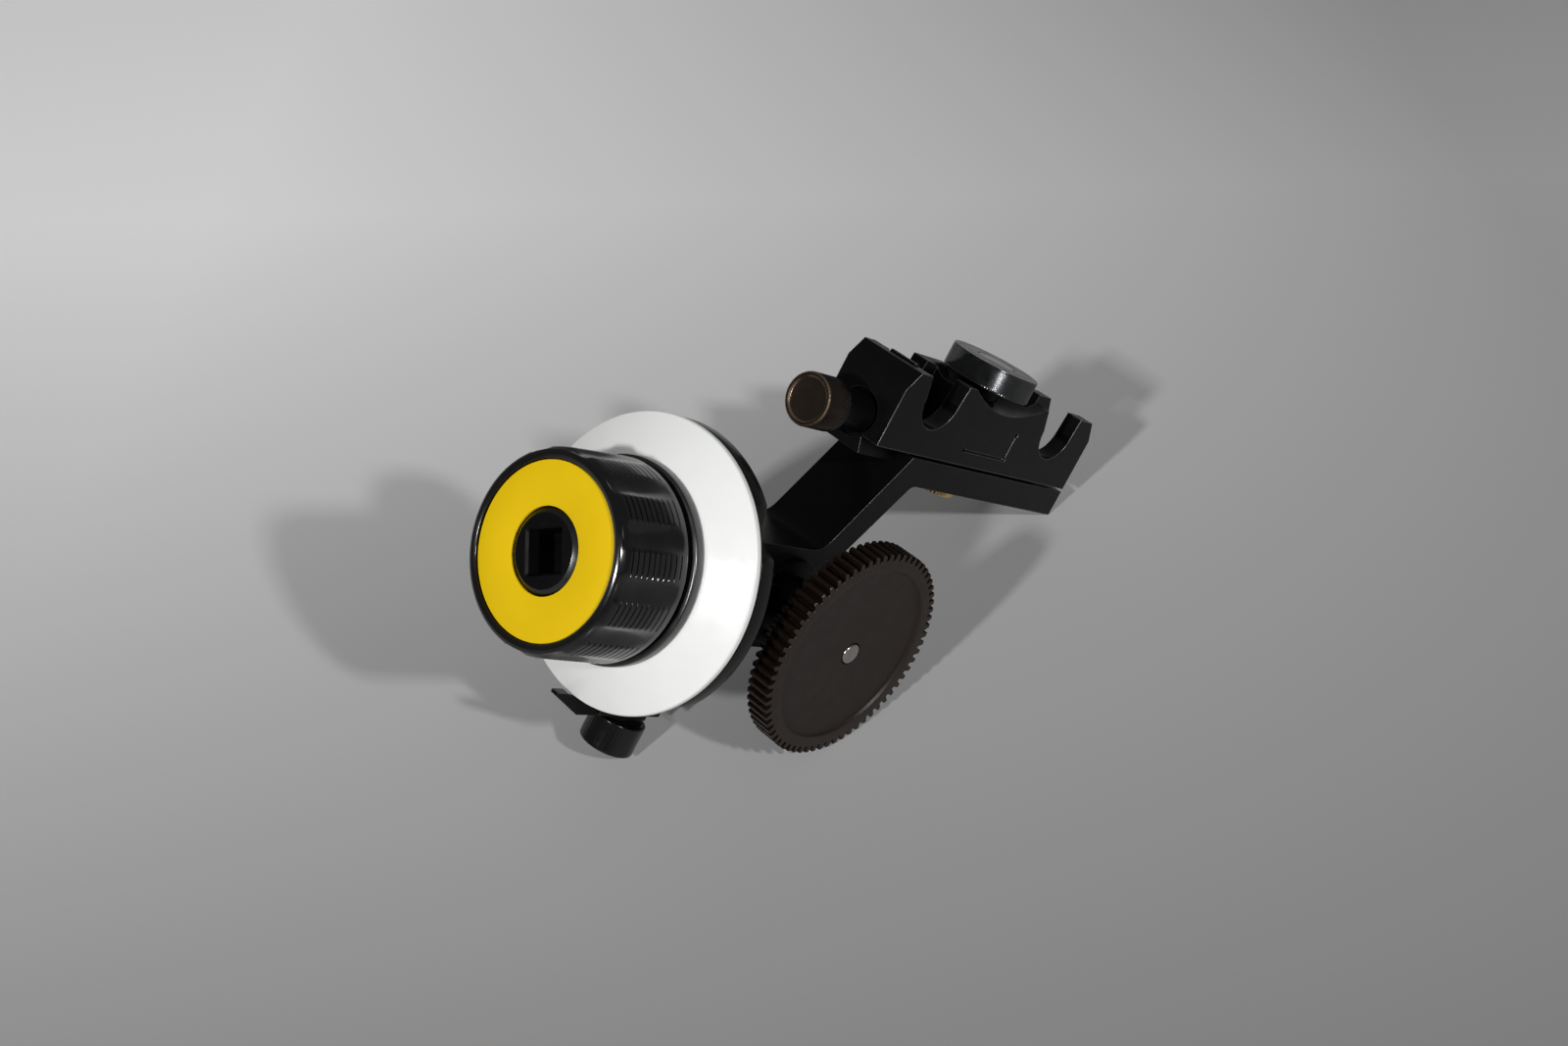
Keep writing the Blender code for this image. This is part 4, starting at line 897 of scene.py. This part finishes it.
lathe(
    "grip_ring_moulded",
    "disc",
    ["grip_ring"],
    [gloss_black],
    "X",
    WHEEL_LINE,
    [
        (14.4, -102.4),
        (25.0, -102.4),
        (35.1, -98.15),
        (35.5, -98.15, 0.2),
        (35.5, -93.45, 0.5),
        (29.5, -93.45, 0.4),
        (25.0, -98.8),
        (14.4, -98.8),
    ],
    240,
    notch_reach,
)
lathe(
    "disc_retainer_turned",
    "wheel",
    ["disc_retainer"],
    [plated_flat],
    "X",
    WHEEL_LINE,
    [(4.3, -97.6), (17.0, -97.6, 0.2), (17.0, -95.6, 0.4), (4.3, -95.6, 0.2)],
)


# Pointer lock and fasteners
LOCK_FLUTES = 44.0
LOCK_FLUTE_DEPTH = 0.07
LOCK_FLUTED = (-108.2, -101.3)


def lock_reach(angle, height, radius):
    wave = np.abs(((angle * LOCK_FLUTES / (2.0 * math.pi)) % 1.0) - 0.5) * 2.0
    band = (height > LOCK_FLUTED[0]) & (height < LOCK_FLUTED[1])
    return np.where((radius > 6.9) & band, radius - LOCK_FLUTE_DEPTH * wave, radius)


lathe(
    "lock_knob_moulded",
    "pointer_lock",
    ["lock_knob"],
    [lock_black],
    "Z",
    POINTER_PIVOT,
    [
        (0.0, -109.0),
        (7.1, -109.0, 0.9),
        (7.1, -107.9),
        (7.1, -101.5),
        (7.1, -100.7, 0.5),
        (2.3, -100.7),
        (2.3, -105.7),
        (0.0, -105.7),
    ],
    176,
    lock_reach,
)


def hexagon(angle, across_half):
    turned = np.radians((np.degrees(angle) + 30.0) % 60.0 - 30.0)
    return across_half / np.cos(turned)


NUT_HALF = 3.1


def nut_reach(angle, height, radius):
    side = hexagon(angle, NUT_HALF)
    return np.where(radius > 2.5, np.minimum(radius, side), radius)


lathe(
    "lock_nut_hex",
    "arm",
    ["lock_nut"],
    [steel],
    "Z",
    POINTER_PIVOT,
    [(2.3, -95.2), (3.2, -95.2), (3.6, -94.9), (3.6, -93.1), (3.2, -92.8), (2.3, -92.8, 0.1)],
    48,
    nut_reach,
)


def socket_screw(node_name, body, axis, head_up, shank, head, head_height, key, material=steel):
    """Cap screw with a hexagon socket, sized and placed by its CAD solid."""
    low, high = (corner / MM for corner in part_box(node_name))
    index = "XYZ".index(axis)
    line = tuple(0.5 * (low[i] + high[i]) for i in range(3) if i != index)
    top, tip = (high[index], low[index]) if head_up else (low[index], high[index])
    way = 1.0 if head_up else -1.0

    def reach(angle, height, radius):
        return np.where(np.abs(radius - key) < 0.01, hexagon(angle, key), radius)

    lathe(
        node_name + "_cap",
        body,
        [node_name],
        [material],
        axis,
        line,
        [
            (0.0, top - way * 0.55 * head_height),
            (key, top - way * 0.55 * head_height),
            (key, top),
            (head, top, 0.18),
            (head, top - way * head_height),
            (shank, top - way * head_height),
            (shank, tip, 0.15),
            (0.0, tip),
        ],
        24,
        reach,
    )


for corner in ("left_top", "right_top", "left_floor", "right_floor"):
    socket_screw("cover_screw_" + corner, "arm", "Y", True, 0.8, 1.4, 0.7, 0.6)
for corner in ("near_floor", "near_top", "far_floor", "far_top"):
    socket_screw("barrel_screw_" + corner, "arm", "X", False, 0.95, 1.8, 1.3, 0.8)
for number in (1, 2, 3):
    socket_screw(f"bush_screw_{number}", "arm", "Y", False, 0.8, 1.4, 1.1, 0.6, lock_black)
for number in (1, 2):
    socket_screw(f"bracket_screw_{number}", "arm", "Z", False, 1.15, 2.2, 1.4, 0.95)
for side in ("left", "right"):
    socket_screw(f"rail_screw_{side}", "rod_clamp", "Z", False, 1.45, 2.6, 1.6, 1.2)

# Finishes of the CAD nodes that stay
for name, material in {
    "knob_washer": anodised,
    "thumb_washer": brass,
    "clamp_stud": steel,
    "thumb_spindle": steel,
    "wheel_shaft": steel,
    "wheel_bevel": steel,
    "output_bevel": steel,
    "wheel_bearing_front": steel,
    "wheel_bearing_rear": steel,
    "output_bearing_front": steel,
    "output_bearing_rear": steel,
    "friction_washer": steel,
    "lock_stud": steel,
}.items():
    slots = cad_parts[name].data.materials
    slots.clear()
    slots.append(material)

# Table: a plane through the three points that the unit stands on
STANDS_ON = ((47.8, -10.3, -23.4), (-39.64, -37.2, -82.14), (-71.88, -1.02, -109.0))
TABLE_DROP = 0.06
TABLE_RADIUS = 1400.0
plate_corner, gear_rim, lock_foot = (Vector(point) for point in STANDS_ON)
table_up = (gear_rim - plate_corner).cross(lock_foot - plate_corner).normalized()
if table_up.z < 0.0:
    table_up = -table_up
table_middle = (plate_corner + gear_rim + lock_foot) / 3.0 - table_up * TABLE_DROP

# Camera, fitted to the photograph
CAMERA_PLACE = (-449.94, -273.99, 67.78)
CAMERA_RIGHT = (0.5897, -0.6717, 0.4485)
CAMERA_AHEAD = (0.8017, 0.5539, -0.2246)
CAMERA_LENS = 45.47

data = bpy.data.cameras.new("photo_camera")
data.sensor_fit = "HORIZONTAL"
data.sensor_width = 36.0
data.lens = CAMERA_LENS
data.clip_start = 0.02
data.clip_end = 20.0
camera = bpy.data.objects.new("photo_camera", data)
ahead = Vector(CAMERA_AHEAD).normalized()
right = Vector(CAMERA_RIGHT)
right = (right - ahead * right.dot(ahead)).normalized()
up = right.cross(ahead)
turn = Matrix((right, up, -ahead)).transposed().to_4x4()
camera.matrix_world = Matrix.Translation(Vector(CAMERA_PLACE) * MM) @ turn
bpy.context.scene.collection.objects.link(camera)
bpy.context.scene.camera = camera

# Floor, whose colour paints the lamps' falloff on the table: dark near the camera and light far
# off, lightest at the far left
across = (right - table_up * right.dot(table_up)).normalized()
away = table_up.cross(across)
FADE_ACROSS = (-0.230, 0.240)
FADE_AWAY = (-0.318, 0.262)
NEAR_LEFT = (0.052, 0.050, 0.050)
NEAR_RIGHT = (0.082, 0.080, 0.080)
FAR_LEFT = (0.745, 0.740, 0.742)
FAR_RIGHT = (0.475, 0.468, 0.468)
FAR_PAINTED_GLOW = 0.20


def table_top():
    tilt = Matrix((across, away, table_up)).transposed().to_4x4()
    shape = bmesh.new()
    bmesh.ops.create_circle(shape, cap_ends=True, radius=TABLE_RADIUS * MM, segments=128)
    mesh = bpy.data.meshes.new("table_top")
    shape.to_mesh(mesh)
    shape.free()
    table = bpy.data.objects.new("table_top", mesh)
    table.matrix_world = Matrix.Translation(table_middle * MM) @ tilt
    bpy.context.scene.collection.objects.link(table)
    material = bpy.data.materials.new("table_paint")
    material.use_nodes = True
    tree = material.node_tree
    shader = tree.nodes["Principled BSDF"]
    place = node(tree, "ShaderNodeTexCoord").outputs["Object"]
    split = node(tree, "ShaderNodeSeparateXYZ", links={0: place})
    # Colour from four corners, dark near and light far: painted light falloff.
    sideways = ramped(tree, split.outputs["X"], 0.0, 1.0, *FADE_ACROSS)
    depth = ramped(tree, split.outputs["Y"], 0.0, 1.0, *FADE_AWAY)
    near = mixed(tree, sideways, NEAR_LEFT, NEAR_RIGHT)
    far = mixed(tree, sideways, FAR_LEFT, FAR_RIGHT)
    tone = mixed(tree, depth, near, far)
    tree.links.new(tone, shader.inputs["Base Color"])
    shader.inputs["Roughness"].default_value = 0.62
    path = node(tree, "ShaderNodeLightPath")
    seen = path.outputs["Is Camera Ray"]
    for name in ("Is Glossy Ray", "Is Transmission Ray"):
        seen = node(
            tree, "ShaderNodeMath", {"operation": "MAXIMUM"}, (), {0: seen, 1: path.outputs[name]}
        ).outputs[0]
    # Emission seen by camera and glossy rays that lightens the far left of the floor: painted
    # light.
    leftward = ramped(tree, sideways, FAR_PAINTED_GLOW, 0.0, 0.0, 1.0)
    painted_glow = node(tree, "ShaderNodeMath", {"operation": "MULTIPLY"}, (), {0: leftward, 1: depth})
    painted_glow = node(
        tree, "ShaderNodeMath", {"operation": "MULTIPLY"}, (), {0: painted_glow.outputs[0], 1: seen}
    )
    shader.inputs["Emission Color"].default_value = (1.0, 1.0, 1.0, 1.0)
    tree.links.new(painted_glow.outputs[0], shader.inputs["Emission Strength"])
    distance = node(
        tree, "ShaderNodeVectorMath", {"operation": "LENGTH"}, (), {0: place}
    ).outputs["Value"]
    shown = ramped(tree, distance, 1.0, 0.0, 0.6 * TABLE_RADIUS * MM, 0.98 * TABLE_RADIUS * MM)
    behind = node(tree, "ShaderNodeNewGeometry").outputs["Backfacing"]
    front = node(
        tree, "ShaderNodeMath", {"operation": "SUBTRACT"}, {0: 1.0}, {1: behind}
    ).outputs[0]
    alpha = node(tree, "ShaderNodeMath", {"operation": "MULTIPLY"}, (), {0: shown, 1: front})
    tree.links.new(alpha.outputs[0], shader.inputs["Alpha"])
    mesh.materials.append(material)


table_top()


# Light
LAMP_TARGET = (-45.0, -10.0, -50.0)
FILL = 0.12


def lamp(name, travel, distance, size, power):
    """Square soft lamp that shines along `travel` at the middle of the unit."""
    light = bpy.data.lights.new(name, "AREA")
    light.shape = "SQUARE"
    light.size = size
    light.energy = power
    made = bpy.data.objects.new(name, light)
    travel = Vector(travel).normalized()
    target = Vector(LAMP_TARGET) * MM
    made.matrix_world = Matrix.Translation(target - travel * distance) @ travel.to_track_quat(
        "-Z", "Y"
    ).to_matrix().to_4x4()
    bpy.context.scene.collection.objects.link(made)


lamp("front_lamp", (0.400, 0.768, -0.500), 1.5, 0.08, 12.0)
lamp("side_lamp", (0.975, 0.20, 0.03), 3.0, 0.15, 52.0)

world = bpy.data.worlds.new("studio")
world.use_nodes = True
bpy.context.scene.world = world
tree = world.node_tree
background = tree.nodes["Background"]
background.inputs["Color"].default_value = (FILL, FILL, FILL, 1.0)
background.inputs["Strength"].default_value = 1.0

bpy.context.scene.view_settings.view_transform = "Standard"
